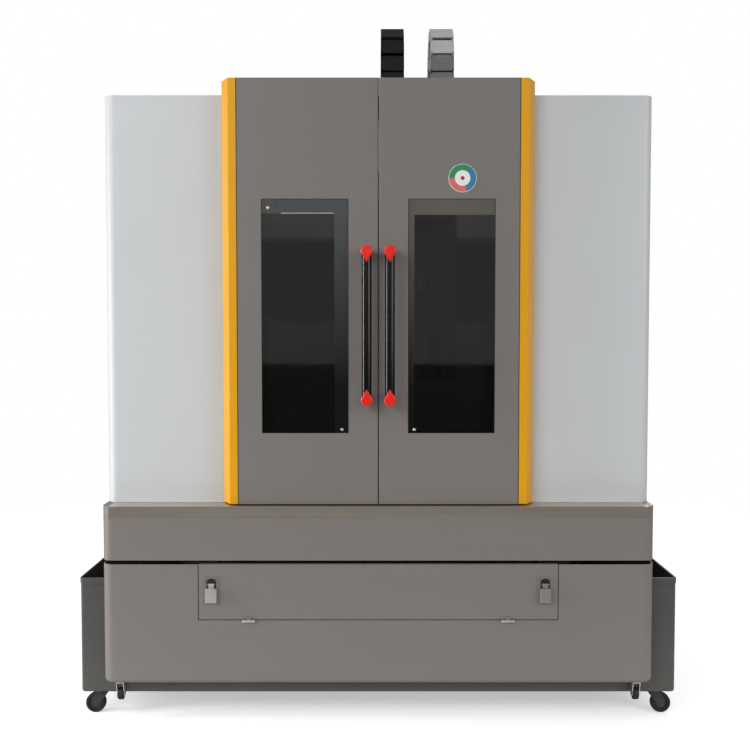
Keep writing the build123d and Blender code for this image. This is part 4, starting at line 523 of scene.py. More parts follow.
# Dark olive-grey powder coat of the trough, dusty near the floor
TANK_COAT = PowderCoat("dark_tank_powder_coat", "tank_paint", "#4B4B49", 0.52, dust=0.2)
# Two-pack enamel brushed over sand-cast iron: a lumpy skin under a semi-gloss film
CASTING_ENAMEL = PowderCoat(
    "machine_enamel_on_cast_iron", "casting_paint", "#83888A", 0.40, grain_mm=9.0, relief_mm=0.35, cloud=0.06
)
# Structured powder coat of the control cabinet: pale and quiet against the white shells
CABINET_COAT = PowderCoat("cabinet_powder_coat", "cabinet_paint", "#C6C9C9", 0.48)
# Stoved enamel of the pump's motor: blue-grey with a semi-gloss
PUMP_ENAMEL = PowderCoat("pump_motor_enamel", "pump_paint", "#38424B", 0.38, relief_mm=0.1)
# Black stoving enamel of the servo motors: dark blocks with softly lit edges
MOTOR_ENAMEL = PowderCoat("black_motor_enamel", "motor_black", "#1D1E20", 0.42)
# Black e-coat of the caster forks, dusty from the floor
FORK_COAT = PowderCoat("black_fork_coat", "caster_steel", "#1E1E1E", 0.45, dust=0.25, dust_top_m=0.12)
# Black powder coat of the grab handles, worn glossy by hands: one bright line down the side that faces the light
HANDLE_COAT = PowderCoat("handle_powder_coat", "handle_black", "#060607", 0.20, mirror=0.35, relief_mm=0.004)
# Glossy red ABS, injection moulded: the brightest colour on the machine, with small highlights
RED_ABS = MouldedPlastic("red_abs", "handle_red", "#EC2A1F", 0.24)
# Laminated glass with a dark film: nearly black, with the castings just showing behind it
DARK_GLASS = TintedGlass("dark_laminated_glass", "tinted_glass", "#545351", 0.03, mirror=0.12)
# Grey bands on the front of the glass, painted light: they stand for the inner door frames behind it as lit through
# the dark glass, cool grey on the left door and warmer on the right one as two differently lit copies of one paint,
# both fading downwards as painted shade
LEFT_PAINTED_FRAME_LIGHT = FadedBorder("cool_ceramic_border", "tinted_glass", "#4E5153", 0.22, mirror=0.3)
RIGHT_PAINTED_FRAME_LIGHT = FadedBorder("warm_ceramic_border", "tinted_glass", "#625D57", 0.22, mirror=0.3)
# Stainless steel 304 with a number 4 finish along the sill: its brown-grey tint is a painted reflection of the room
STAINLESS_ALONG = BrushedMetal(
    "brushed_stainless_along", "stainless", "#CBC0B5", 0.34, 1.0, stroke_mm=420.0, line_mm=2.0, spread=0.16
)
# The same steel brushed upright on the left latch, lighter as painted light from the left: a light spot on the taupe
# flap
STAINLESS_LIT = BrushedMetal("brushed_stainless_upright", "stainless", "#DAD6D0", 0.32, 1.0, grain=Axis.Z)
# The right latch: the same steel darker, as painted shade
STAINLESS_SHADED = BrushedMetal("dull_stainless_upright", "stainless", "#A6A199", 0.45, 1.0, grain=Axis.Z)
# Cast zinc of the latch plates, painted over with the flap, so that only the levers stand out
PLATE_COAT = PowderCoat("painted_latch_plate", "stainless", "#7A7671", 0.45)
# Bright zinc plate on the door rail, fasteners and small forks: short streaks that glint; it also colours a painted
# highlight along the left window's frame
ZINC_PLATE_AND_HIGHLIGHT = BrushedMetal("bright_zinc_plate", "zinc_steel", "#D9D9D4", 0.30, 1.0, stroke_mm=30.0, spread=0.14)
# Hardened steel rails, ground lengthways, one for each axis: long bright lines in the dark interior
RAIL_X = BrushedMetal("ground_rail_steel_x", "rail_steel", "#C6C8CA", 0.22, 1.0, grain=Axis.X)
RAIL_Y = BrushedMetal("ground_rail_steel_y", "rail_steel", "#C6C8CA", 0.22, 1.0, grain=Axis.Y)
RAIL_Z = BrushedMetal("ground_rail_steel_z", "rail_steel", "#C6C8CA", 0.22, 1.0, grain=Axis.Z)
# Ball screws with their rolled grooves: a fine light and dark rhythm along the bar
SCREW_X = ThreadedSteel("ball_screw_steel_x", "rail_steel", "#9FA1A2", 0.25, 1.0, axis=Axis.X)
SCREW_Y = ThreadedSteel("ball_screw_steel_y", "rail_steel", "#9FA1A2", 0.25, 1.0, axis=Axis.Y)
SCREW_Z = ThreadedSteel("ball_screw_steel_z", "rail_steel", "#9FA1A2", 0.25, 1.0, axis=Axis.Z)
# Grey iron table, ground along its slots: a dull, streaked plate
GROUND_IRON = BrushedMetal("ground_grey_iron", "ground_iron", "#8B8C8A", 0.36, 1.0, grain=Axis.Y, line_mm=2.5)
# Turned and polished steel of the spindle housing: bright and smooth beside the enamel
SPINDLE_STEEL = BrushedMetal("turned_spindle_steel", "spindle_steel", "#C2C4C5", 0.24, 1.0, grain=Axis.X)
# Dark phosphated steel of the window's bracket: a dull patch in the corner of the glass
BRACKET_STEEL = PowderCoat("phosphated_bracket_steel", "zinc_steel", "#4A4845", 0.40)
# Glass-filled nylon of the drag chains: matt, with rubbed spots on the lids
BLACK_NYLON = MouldedPlastic("black_chain_nylon", "chain_black", "#08080A", 0.50, mirror=0.3)
GREY_NYLON = MouldedPlastic("grey_chain_nylon", "chain_grey", "#6B6D6D", 0.50)
# The links at the top of the grey chain, paler as painted light falling on the top of the chain
LIT_GREY_NYLON = MouldedPlastic("pale_chain_nylon", "chain_grey", "#B4B6B6", 0.50)
# Coated cloth of the bellows: nearly black folds with worn, paler patches
BELLOWS_CLOTH = CoatedCloth("coated_bellows_cloth", "bellows_cloth", "#26272A", 0.62)
# Solid rubber tyres, scuffed, and the grey nylon hubs in them
TYRE_RUBBER = MouldedPlastic("caster_tyre_rubber", "wheel_black", "#111111", 0.62, grain_mm=3.0, relief_mm=0.15)
HUB_NYLON = MouldedPlastic("caster_hub_nylon", "wheel_black", "#343538", 0.45)
# Extruded EPDM in seams, between the doors and round the glass: thin black lines; the same black lines the latch
# pockets as painted shade
SEAL_RUBBER_AND_SHADE = MouldedPlastic("seal_rubber", "wheel_black", "#121212", 0.55)


class Form:
    """A mesh that grows from simple solids, in metres in the frame."""

    def __init__(self) -> None:
        """Starts empty."""
        self.mesh = bmesh.new()

    def block(self, low: Point, high: Point) -> "Form":
        """Adds a box between two corners and returns the form."""
        spots = [(x, y, z) for x in (low[0], high[0]) for y in (low[1], high[1]) for z in (low[2], high[2])]
        corners = [self.mesh.verts.new(spot) for spot in spots]
        for quad in ((0, 1, 3, 2), (4, 6, 7, 5), (0, 4, 5, 1), (2, 3, 7, 6), (0, 2, 6, 4), (1, 5, 7, 3)):
            self.mesh.faces.new([corners[at] for at in quad])
        return self

    def prism(self, outline: Sequence[Point], start: Point, run: Point) -> "Form":
        """Adds a flat outline drawn out along a vector.

        Args:
            outline: The outline's points relative to start.
            start: Where the outline lies.
            run: How far and which way it is drawn out.

        Returns:
            The form.
        """
        near = [self.mesh.verts.new(Vector(start) + Vector(spot)) for spot in outline]
        far = [self.mesh.verts.new(vertex.co + Vector(run)) for vertex in near]
        count = len(near)
        self.mesh.faces.new(near)
        self.mesh.faces.new(far[::-1])
        for at in range(count):
            after = (at + 1) % count
            self.mesh.faces.new((near[after], near[at], far[at], far[after]))
        return self

    def lathe(self, profile: Sequence[tuple[float, float]], centre: Point, axis: Axis, steps: int = 40) -> "Form":
        """Turns a profile round an axis.

        Args:
            profile: Radius and place along the axis of each point. A profile that leaves the axis is closed
                into a ring, and one that begins and ends on it is a full body.
            centre: Where the profile's zero lies.
            axis: The axis of turning.
            steps: Corners of a full turn.

        Returns:
            The form.
        """
        side, rise = axis.across
        rings = []
        for radius, along in profile:
            middle = Vector(centre) + axis.vector * along
            if radius < 1e-7:
                rings.append([self.mesh.verts.new(middle)])
                continue
            turns = [2 * math.pi * step / steps for step in range(steps)]
            rings.append(
                [
                    self.mesh.verts.new(middle + side * radius * math.cos(turn) + rise * radius * math.sin(turn))
                    for turn in turns
                ]
            )
        pairs = list(zip(rings, rings[1:]))
        if len(rings[0]) > 1 and len(rings[-1]) > 1:
            pairs.append((rings[-1], rings[0]))
        for first, second in pairs:
            for step in range(steps):
                after = (step + 1) % steps
                corners = [first[step % len(first)], first[after % len(first)]]
                corners += [second[after % len(second)], second[step % len(second)]]
                unique = list(dict.fromkeys(corners))
                if len(unique) > 2:
                    self.mesh.faces.new(unique)
        return self

    def sweep(self, path: Sequence[Point], flat: Axis, radius: float, sides: int = 8) -> "Form":
        """Draws a round bead along a closed flat path.

        Args:
            path: The path's corners.
            flat: The axis that is square to the path's plane.
            radius: The bead's radius.
            sides: Corners of its section.

        Returns:
            The form.
        """
        rings = []
        for at, spot in enumerate(path):
            ahead = Vector(path[(at + 1) % len(path)]) - Vector(path[at - 1])
            out = ahead.normalized().cross(flat.vector)
            turns = [2 * math.pi * step / sides for step in range(sides)]
            rings.append(
                [
                    self.mesh.verts.new(
                        Vector(spot) + out * radius * math.cos(turn) + flat.vector * radius * math.sin(turn)
                    )
                    for turn in turns
                ]
            )
        for first, second in zip(rings, rings[1:] + rings[:1]):
            for step in range(sides):
                after = (step + 1) % sides
                self.mesh.faces.new((first[step], first[after], second[after], second[step]))
        return self

    def soften(self, width: float, angle: float = 40.0) -> "Form":
        """Rounds every edge that is sharper than an angle in degrees."""
        if width > 0:
            sharp = [
                edge
                for edge in self.mesh.edges
                if len(edge.link_faces) == 2 and edge.calc_face_angle(0.0) > math.radians(angle)
            ]
            bmesh.ops.bevel(
                self.mesh,
                geom=sharp,
                offset=width,
                offset_type="OFFSET",
                segments=2,
                profile=0.5,
                affect="EDGES",
                clamp_overlap=True,
            )
        return self

    def template(self, name: str) -> bpy.types.Object:
        """Makes a stand-in object for a repeat, which the repeat removes again."""
        return bpy.data.objects.new(name, self.as_mesh(name))

    def as_mesh(self, name: str) -> bpy.types.Mesh:
        """Turns the form into a mesh with its faces outwards."""
        bmesh.ops.recalc_face_normals(self.mesh, faces=self.mesh.faces[:])
        mesh = bpy.data.meshes.new(name)
        self.mesh.to_mesh(mesh)
        self.mesh.free()
        return mesh

    def piece(self, name: str, finish: Finish, body: str | None, replaces: Sequence[str] = ()) -> bpy.types.Object:
        """Makes the finished object, as settle says."""
        return settle(self.as_mesh(name), name, finish, body, replaces)


def settle(
    mesh: bpy.types.Mesh, name: str, finish: Finish, body: str | None, replaces: Sequence[str] = ()
) -> bpy.types.Object:
    """Shades a mesh, gives it its finish and lets it ride.

    Args:
        mesh: The piece's mesh, in place.
        name: The piece's name.
        finish: Its finish.
        body: The body that it rides on, or None for a piece that is left unattached.
        replaces: The nodes that it stands for.

    Returns:
        The finished object.
    """
    mesh.materials.clear()
    mesh.materials.append(finish.material())
    mesh.shade_smooth()
    mesh.set_sharp_from_angle(angle=math.radians(38))
    rough = bpy.data.objects.new(name, mesh)
    bpy.context.scene.collection.objects.link(rough)
    weigh = rough.modifiers.new("even_shading", "WEIGHTED_NORMAL")
    weigh.keep_sharp = True
    bpy.context.view_layer.update()
    graph = bpy.context.evaluated_depsgraph_get()
    even = bpy.data.meshes.new_from_object(rough.evaluated_get(graph), depsgraph=graph)
    rough.modifiers.remove(weigh)
    rough.data = even
    even.name = name
    if replaces:
        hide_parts(*replaces)
    if body is not None:
        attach(rough, body)
    LOG.info("%s: %d faces, %s", name, len(even.polygons), finish.title)
    return rough


def body_of(node: str) -> str:
    """Gives the body that a node rides on."""
    return next(body for body, nodes in frame["record"]["behaviour"]["bodies"].items() if node in nodes)


def rounded(node: str, finish: Finish, width: float = 0.0) -> bpy.types.Object:
    """Replaces a node by its own shape with merged faces, even shading and rounded edges.

    Args:
        node: The node.
        finish: Its finish.
        width: Width of the rounding, in metres.

    Returns:
        The new piece.
    """
    form = Form()
    form.mesh.from_mesh(frame["nodes"][node].data)
    bmesh.ops.remove_doubles(form.mesh, verts=form.mesh.verts[:], dist=2e-6)
    bmesh.ops.dissolve_limit(
        form.mesh, angle_limit=math.radians(0.6), verts=form.mesh.verts[:], edges=form.mesh.edges[:]
    )
    form.soften(width)
    mesh = bpy.data.meshes.new(f"{node}_finished")
    form.mesh.to_mesh(mesh)
    form.mesh.free()
    return settle(mesh, f"{node}_finished", finish, body_of(node), [node])


class Rule:
    """A Geometry Nodes tree with named inputs that ends in real geometry with its finish set."""

    def __init__(self, name: str) -> None:
        """Starts a tree of that name with its geometry and finish inputs."""
        self.tree = bpy.data.node_groups.new(name, "GeometryNodeTree")
        self.tree.interface.new_socket(name="Geometry", in_out="OUTPUT", socket_type="NodeSocketGeometry")
        self.entry = add_node(self.tree, "NodeGroupInput")
        self.geometry = self.named("Geometry", "NodeSocketGeometry")
        self.finish = self.named("Finish", "NodeSocketMaterial")

    def named(self, name: str, kind: str) -> bpy.types.NodeSocket:
        """Adds a named input and returns its socket."""
        self.tree.interface.new_socket(name=name, in_out="INPUT", socket_type=kind)
        return self.entry.outputs[name]

    def end(self, geometry: bpy.types.NodeSocket) -> bpy.types.NodeTree:
        """Closes the tree and returns it."""
        real = add_node(self.tree, "GeometryNodeRealizeInstances", {0: geometry})
        coat = add_node(self.tree, "GeometryNodeSetMaterial", {"Geometry": real.outputs[0], "Material": self.finish})
        add_node(self.tree, "NodeGroupOutput", {0: coat.outputs[0]})
        return self.tree


def chain_rule(width: Axis) -> bpy.types.NodeTree:
    """Builds the rule that sets links along a path.

    Args:
        width: The axis that the links' width follows, which stays level round the bend.

    Returns:
        The tree, with the inputs Links and Link.
    """
    rule = Rule(f"drag_chain_links_{width.name.lower()}")
    links = rule.named("Links", "NodeSocketInt")
    link = rule.named("Link", "NodeSocketObject")
    path = add_node(rule.tree, "GeometryNodeMeshToCurve", {"Mesh": rule.geometry})
    spots = add_node(rule.tree, "GeometryNodePoints", {"Count": links})
    number = add_node(rule.tree, "GeometryNodeInputIndex")
    share = maths(rule.tree, "DIVIDE", maths(rule.tree, "ADD", number.outputs[0], 0.5), links)
    place = add_node(rule.tree, "GeometryNodeSampleCurve", {"Curves": path.outputs[0], "Factor": share}, mode="FACTOR")
    placed = add_node(
        rule.tree, "GeometryNodeSetPosition", {"Geometry": spots.outputs[0], "Position": place.outputs["Position"]}
    )
    turn = add_node(
        rule.tree,
        "FunctionNodeAlignRotationToVector",
        {"Vector": place.outputs["Tangent"]},
        axis="Z",
        pivot_axis=width.name,
    )
    shape = add_node(rule.tree, "GeometryNodeObjectInfo", {"Object": link})
    spread = add_node(
        rule.tree,
        "GeometryNodeInstanceOnPoints",
        {"Points": placed.outputs[0], "Instance": shape.outputs["Geometry"], "Rotation": turn.outputs[0]},
    )
    return rule.end(spread.outputs[0])


def pattern_rule() -> bpy.types.NodeTree:
    """Builds the rule that sets a small part on each point of a pattern, with the inputs Part, Size and Facing."""
    rule = Rule("small_parts_on_points")
    part = rule.named("Part", "NodeSocketObject")
    size = rule.named("Size", "NodeSocketFloat")
    facing = rule.named("Facing", "NodeSocketVector")
    shape = add_node(rule.tree, "GeometryNodeObjectInfo", {"Object": part})
    turn = add_node(rule.tree, "FunctionNodeAlignRotationToVector", {"Vector": facing}, axis="Z")
    spread = add_node(
        rule.tree,
        "GeometryNodeInstanceOnPoints",
        {
            "Points": rule.geometry,
            "Instance": shape.outputs["Geometry"],
            "Rotation": turn.outputs[0],
            "Scale": size,
        },
    )
    return rule.end(spread.outputs[0])


def pleat_rule() -> bpy.types.NodeTree:
    """Builds the rule of a pleated cloth, with the inputs Folds, Start, Run, Rise and Across."""
    rule = Rule("bellows_pleats")
    folds = rule.named("Folds", "NodeSocketInt")
    start, run, rise, across = (rule.named(name, "NodeSocketVector") for name in ("Start", "Run", "Rise", "Across"))
    line = add_node(
        rule.tree, "GeometryNodeMeshLine", {"Count": folds, "Start Location": start, "Offset": run}, mode="OFFSET"
    )
    number = add_node(rule.tree, "GeometryNodeInputIndex")
    odd = maths(rule.tree, "MODULO", number.outputs[0], 2.0)
    lift = add_node(rule.tree, "ShaderNodeVectorMath", {0: rise, "Scale": odd}, operation="SCALE")
    zigzag = add_node(rule.tree, "GeometryNodeSetPosition", {"Geometry": line.outputs[0], "Offset": lift.outputs[0]})
    cloth = add_node(
        rule.tree,
        "GeometryNodeExtrudeMesh",
        {"Mesh": zigzag.outputs[0], "Offset": across, "Offset Scale": 1.0},
        mode="EDGES",
    )
    return rule.end(cloth.outputs[0])


def grown(
    tree: bpy.types.NodeTree, values: dict[str, object], points: Sequence[Point], joined: bool, name: str
) -> bpy.types.Mesh:
    """Runs a rule once and gives its result as a plain mesh.

    Args:
        tree: The rule's tree.
        values: Its inputs by name.
        points: The points of the mesh that it starts from.
        joined: Whether edges join the points into a path.
        name: The mesh's name.

    Returns:
        The mesh.
    """
    seed = bpy.data.meshes.new(f"{name}_seed")
    edges = [(at, at + 1) for at in range(len(points) - 1)] if joined else []
    seed.from_pydata([tuple(point) for point in points], edges, [])
    host = bpy.data.objects.new(f"{name}_seed", seed)
    stand_ins = [value for value in values.values() if isinstance(value, bpy.types.Object)]
    for thing in (host, *stand_ins):
        bpy.context.scene.collection.objects.link(thing)
    modifier = host.modifiers.new("rule", "NODES")
    modifier.node_group = tree
    for item in tree.interface.items_tree:
        if item.item_type == "SOCKET" and item.in_out == "INPUT" and item.name in values:
            modifier[item.identifier] = values[item.name]
    bpy.context.view_layer.update()
    graph = bpy.context.evaluated_depsgraph_get()
    mesh = bpy.data.meshes.new_from_object(host.evaluated_get(graph), depsgraph=graph)
    host.modifiers.remove(modifier)
    for thing in (host, *stand_ins):
        bpy.data.objects.remove(thing)
    mesh.name = name
    return mesh


def screw_head() -> bpy.types.Object:
    """Makes the stand-in of a button-head screw with a six-sided socket, 10 mm wide, on +Z."""
    profile = ((0.0, 0.0012), (0.0022, 0.0012), (0.0022, 0.0028), (0.0036, 0.0025), (0.005, 0.0010), (0.005, 0.0))
    return Form().lathe((*profile, (0.0, 0.0)), (0, 0, 0), Axis.Z, 12).template("button_head")


@dataclass
class Parts:
    """The rules that several sub-assemblies share."""

    pattern: bpy.types.NodeTree
    pleats: bpy.types.NodeTree

    def screws(
        self, name: str, points: Sequence[Point], facing: Point, body: str, size: float = 1.0
    ) -> bpy.types.Object:
        """Sets button-head screws on points.

        Args:
            name: The piece's name.
            points: Where the screws sit.
            facing: Which way their heads face.
            body: The body that they ride on.
            size: One for a head of 10 mm.

        Returns:
            The finished piece.
        """
        values = {"Part": screw_head(), "Size": size, "Facing": tuple(facing), "Finish": ZINC_PLATE_AND_HIGHLIGHT.material()}
        return settle(grown(self.pattern, values, points, False, name), name, ZINC_PLATE_AND_HIGHLIGHT, body)


@dataclass
class SlidingDoor:
    """One front door: grey pan, dark window, yellow edge and grab handle.

    Attributes:
        side: The side that it stands on.
        border: The finish of the band on the glass, painted light that stands for the inner door frame.
        top_border: Lower edge of the border along the window's top.
        inner_border: Farthest distance from the machine's middle of the border along the window's inner side.
        bead: Radius of the rubber bead round the opening.
        seam: Width of the dark seam before the yellow edge.
        film: Thickness of the border.
        stud: Place of the stud low in the window, from the machine's middle and from the floor.
    """

    side: Side
    border: Finish
    top_border: float
    inner_border: float
    bead: float = 0.0011
    seam: float = 0.0026
    film: float = 0.0004
    stud: tuple[float, float] = (0.1335, 1.0905)

    def build(self, parts: Parts) -> None:
        """Builds and dresses the whole door."""
        word = self.side.word
        body = f"{word}_door"
        rounded(f"{word}_door_panel", TAUPE_COAT, 0.0015)
        rounded(f"{word}_edge_strip", YELLOW_COAT, 0.0015)
        rounded(f"{word}_window", DARK_GLASS, 0.0008)
        rounded(f"{word}_handle_bar", HANDLE_COAT)
        rounded(f"{word}_handle_caps", RED_ABS)
        low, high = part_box(f"{word}_window")
        pan_low, pan_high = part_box(f"{word}_door_panel")
        inset = Vector((GLASS_LAP, 0.0, GLASS_LAP))
        self.edges(body, low + inset, high - inset, pan_low, pan_high)
        self.borders(body, low + inset, high - inset)
        spots = [(self.side.value * self.stud[0], low.y - self.film, self.stud[1])]
        parts.screws(f"{word}_window_stud", spots, (0, -1, 0), body, 1.1)

    def edges(self, body: str, low: Vector, high: Vector, pan_low: Vector, pan_high: Vector) -> None:
        """Lays the bead round the window and the seam before the yellow edge."""
        corners = ((high.x, low.z), (high.x, high.z), (low.x, high.z), (low.x, low.z))
        path = [(x, pan_low.y + 0.0005, z) for x, z in corners]
        Form().sweep(path, Axis.Y, self.bead).piece(f"{self.side.word}_window_bead", SEAL_RUBBER_AND_SHADE, body)
        edge = pan_high.x if self.side is Side.RIGHT else pan_low.x
        Form().block(
            (edge - self.seam / 2, pan_low.y - 0.0004, pan_low.z + 0.001),
            (edge + self.seam / 2, pan_low.y + 0.002, pan_high.z - 0.001),
        ).soften(0.0003).piece(f"{self.side.word}_door_seam", SEAL_RUBBER_AND_SHADE, body)

    def borders(self, body: str, low: Vector, high: Vector) -> None:
        """Lays the grey bands on the front of the glass: painted light that stands for the inner door frame behind it.
        """
        sign = self.side.value
        inner = sorted((sign * abs(min(low.x, high.x, key=abs)), sign * self.inner_border))
        fronts = (low.y - self.film, low.y + 0.0001)
        form = Form().block((low.x, fronts[0], self.top_border), (high.x, fronts[1], high.z))
        form.block((inner[0], fronts[0], low.z), (inner[1], fronts[1], self.top_border))
        form.piece(f"{self.side.word}_window_border", self.border, body)


@dataclass
class MeetingLip:
    """Rubber lip on the left door that closes the gap between the doors.

    Attributes:
        behind: How far its front lies behind the doors' front.
        depth: Its depth.
        clearance: What it leaves free before the right door.
    """

    behind: float = 0.006
    depth: float = 0.010
    clearance: float = 0.0006

    def build(self) -> None:
        """Builds the lip along the whole height of the doors."""
        left_low, left_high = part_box("left_door_panel")
        right_low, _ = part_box("right_door_panel")
        Form().block(
            (left_high.x - 0.0005, left_low.y + self.behind, left_low.z),
            (right_low.x - self.clearance, left_low.y + self.behind + self.depth, left_high.z),
        ).soften(0.0008).piece("door_meeting_lip", SEAL_RUBBER_AND_SHADE, "left_door")


@dataclass
class WindowBracket:
    """Folded bracket with its screw in the left window's upper outer corner, and a painted highlight along the frame's
    edge.

    Attributes:
        low: Its lower inner corner, in x and z.
        thick: Its thickness.
        screw: Its screw, in x and z.
        line: Width of the bright strip that runs from it along the band, a painted highlight of the inner frame's cut
            edge.
        line_end: Where along X that strip ends.
    """

    low: tuple[float, float] = (-0.372, 1.886)
    thick: float = 0.0008
    screw: tuple[float, float] = (-0.4026, 1.904)
    line: float = 0.0035
    line_end: float = -0.162

    def build(self, parts: Parts) -> None:
        """Builds the bracket, its screw and the painted highlight of the frame's edge."""
        low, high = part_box("left_window")
        front = low.y - 0.0005
        left, top = low.x + GLASS_LAP, high.z - GLASS_LAP
        outline = [
            (left, 0, top),
            (self.low[0] - 0.006, 0, top),
            (self.low[0] - 0.002, 0, top - 0.016),
            (self.low[0] + 0.016, 0, self.low[1]),
            (left, 0, self.low[1]),
        ]
        Form().prism(outline, (0, front, 0), (0, -self.thick, 0)).piece("window_bracket", BRACKET_STEEL, "left_door")
        parts.screws(
            "window_bracket_screw", [(self.screw[0], front - self.thick, self.screw[1])], (0, -1, 0), "left_door", 1.2
        )
        # A bright strip as painted highlight on the cut edge of the inner door frame
        Form().block(
            (self.low[0] + 0.016, front - 0.0006, self.low[1] - self.line),
            (self.line_end, front + 0.0004, self.low[1]),
        ).piece("window_bright_edge", ZINC_PLATE_AND_HIGHLIGHT, "left_door")


@dataclass
class DoorSticker:
    """Round sticker on the right door, with plain rings and no words.

    Attributes:
        middle: Its middle on the door, in x and z.
        radius: Its radius.
        film: Its thickness.
    """

    middle: tuple[float, float] = (0.3074, 2.011)
    radius: float = 0.0515
    film: float = 0.0008

    def build(self) -> None:
        """Builds the sticker."""
        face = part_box("right_door_panel")[0].y
        centre = (self.middle[0], face, self.middle[1])
        vinyl = RingedVinyl("ringed_vinyl", "white_paint", "#F2F2EF", 0.35, middle=centre, radius=self.radius)
        profile = ((0.0, 0.0), (self.radius, 0.0), (self.radius, -self.film * 0.6), (self.radius - 0.0004, -self.film))
        Form().lathe((*profile, (0.0, -self.film)), centre, Axis.Y, 72).piece("door_sticker", vinyl, "right_door")


@dataclass
class Enclosure:
    """White shells, skirt, sill, rear panel and door rail.

    Attributes:
        screw_rows: Heights of the screw rows on the shells' sides.
        screw_start: First screw's place along Y.
        screw_step: Distance between screws.
        screw_count: Screws in a row.
    """

    screw_rows: tuple[float, float] = (0.832, 2.302)
    screw_start: float = -0.90
    screw_step: float = 0.275
    screw_count: int = 7

    def build(self, parts: Parts) -> None:
        """Builds and dresses the enclosure."""
        for side in Side:
            rounded(f"{side.word}_shell", WHITE_COAT, 0.0012)
            low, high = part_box(f"{side.word}_shell")
            points = [
                (low.x if side is Side.LEFT else high.x, self.screw_start + self.screw_step * at, height)
                for height in self.screw_rows
                for at in range(self.screw_count)
            ]
            parts.screws(f"{side.word}_shell_screws", points, (side.value, 0, 0), "machine")
        rounded("rear_panel", WHITE_COAT, 0.0010)
        rounded("upper_skirt", TAUPE_COAT, 0.0012)
        # Its brown-grey tint is a painted reflection of the room
        rounded("sill_strip", STAINLESS_ALONG, 0.0005)
        rounded("door_rail", ZINC_PLATE_AND_HIGHLIGHT)


@dataclass
class FrontCover:
    """Cover of the tank with its flap, hinges and latches.

    Attributes:
        hinge_xs: Middle of each hinge, from the machine's middle.
        hinge_length: Length of a hinge.
        hinge_sleeve: Radius of the bright barrel over the knuckles.
        pocket: Half the width, the foot's height and the arch's centre height of a latch's dark pocket.
        pocket_film: How far the black film of painted shade stands off the plate.
    """

    hinge_xs: tuple[float, float] = (-0.478, 0.478)
    hinge_length: float = 0.051
    hinge_sleeve: float = 0.0053
    pocket: tuple[float, float, float] = (0.0175, 0.509, 0.526)
    pocket_film: float = 0.00022

    def build(self) -> None:
        """Builds and dresses the cover."""
        rounded("front_cover", TAUPE_COAT, 0.0010)
        rounded("flap_panel", TAUPE_COAT, 0.0010)
        rounded("latch_plates", PLATE_COAT, 0.0005)
        # The two levers take a lit and a shaded copy of one steel: painted light and painted shade
        rounded("left_latch_lever", STAINLESS_LIT, 0.0006)
        rounded("right_latch_lever", STAINLESS_SHADED, 0.0006)
        self.barrels()
        self.pockets()

    def barrels(self) -> None:
        """Puts a bright barrel over each knuckle, the middle one on the flap."""
        third = self.hinge_length / 3
        radius, rim = self.hinge_sleeve, 0.0006
        waist = ((radius, rim), (radius, third - 2 * rim))
        profile = ((0.0, 0.0), (radius - rim, 0.0), *waist, (radius - rim, third - rim), (0.0, third - rim))
        for name, body, starts in (("cover", "tank", (-1.5, 0.5)), ("flap", "flap", (-0.5,))):
            form = Form()
            for middle in self.hinge_xs:
                for start in starts:
                    form.lathe(profile, (middle + start * third, *HINGE_AXIS), Axis.X, 20)
            form.piece(f"{name}_hinge_barrels", ZINC_PLATE_AND_HIGHLIGHT, body)

    def pockets(self) -> None:
        """Lays a black film in the pocket behind each latch's neck: painted shade of the recess."""
        half, foot, centre = self.pocket
        arch = [
            (half * math.cos(math.radians(turn)), 0, centre + half * math.sin(math.radians(turn)))
            for turn in range(0, 181, 15)
        ]
        outline = [(half, 0, foot), *arch, (-half, 0, foot)]
        form = Form()
        for side in Side:
            low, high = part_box(f"{side.word}_latch_lever")
            face = high.y + 0.0003
            form.prism(outline, ((low.x + high.x) / 2, face, 0), (0, -self.pocket_film, 0))
        form.piece("latch_pockets", SEAL_RUBBER_AND_SHADE, "flap")


@dataclass
class CoolantTank:
    """The roll-out trough with its chip tray and pump."""

    def build(self) -> None:
        """Builds and dresses the tank."""
        rounded("coolant_tank", TANK_COAT, 0.0010)
        rounded("chip_tray", STAINLESS_ALONG)
        rounded("coolant_pump", PUMP_ENAMEL, 0.0010)


@dataclass
class Caster:
    """A wheel in its fork.

    Attributes:
        wheel: The wheel's node.
        fork: The fork's node, or None where another caster dresses it.
        axle: The wheel's axis.
        fork_finish: The fork's finish.
    """

    wheel: str
    fork: str | None
    axle: Axis
    fork_finish: Finish

    def build(self) -> None:
        """Builds the tyre and the hub and dresses the fork."""
        low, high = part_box(self.wheel)
        centre = (low + high) / 2
        radius = (high.z - low.z) / 2
        half = ((high - low) @ self.axle.vector) / 2
        core = radius * 0.69
        tread = (
            (core, -half),
            (radius * 0.92, -half),
            (radius * 0.985, -half * 0.80),
            (radius, -half * 0.45),
            (radius, half * 0.45),
            (radius * 0.985, half * 0.80),
            (radius * 0.92, half),
            (core, half),
        )
        body = body_of(self.wheel)
        Form().lathe(tread, centre, self.axle, 48).piece(f"{self.wheel}_tyre", TYRE_RUBBER, body, [self.wheel])
        bore = radius * 0.16
        disc = (
            (bore, -half * 0.86),
            (bore + radius * 0.12, -half * 0.86),
            (bore + radius * 0.15, -half * 0.45),
            (core * 0.90, -half * 0.45),
            (core + 0.0004, -half * 0.92),
            (core + 0.0004, half * 0.92),
            (core * 0.90, half * 0.45),
            (bore + radius * 0.15, half * 0.45),
            (bore + radius * 0.12, half * 0.86),
            (bore, half * 0.86),
        )
        Form().lathe(disc, centre, self.axle, 48).piece(f"{self.wheel}_hub", HUB_NYLON, body)
        if self.fork is not None:
            rounded(self.fork, self.fork_finish, 0.0008)


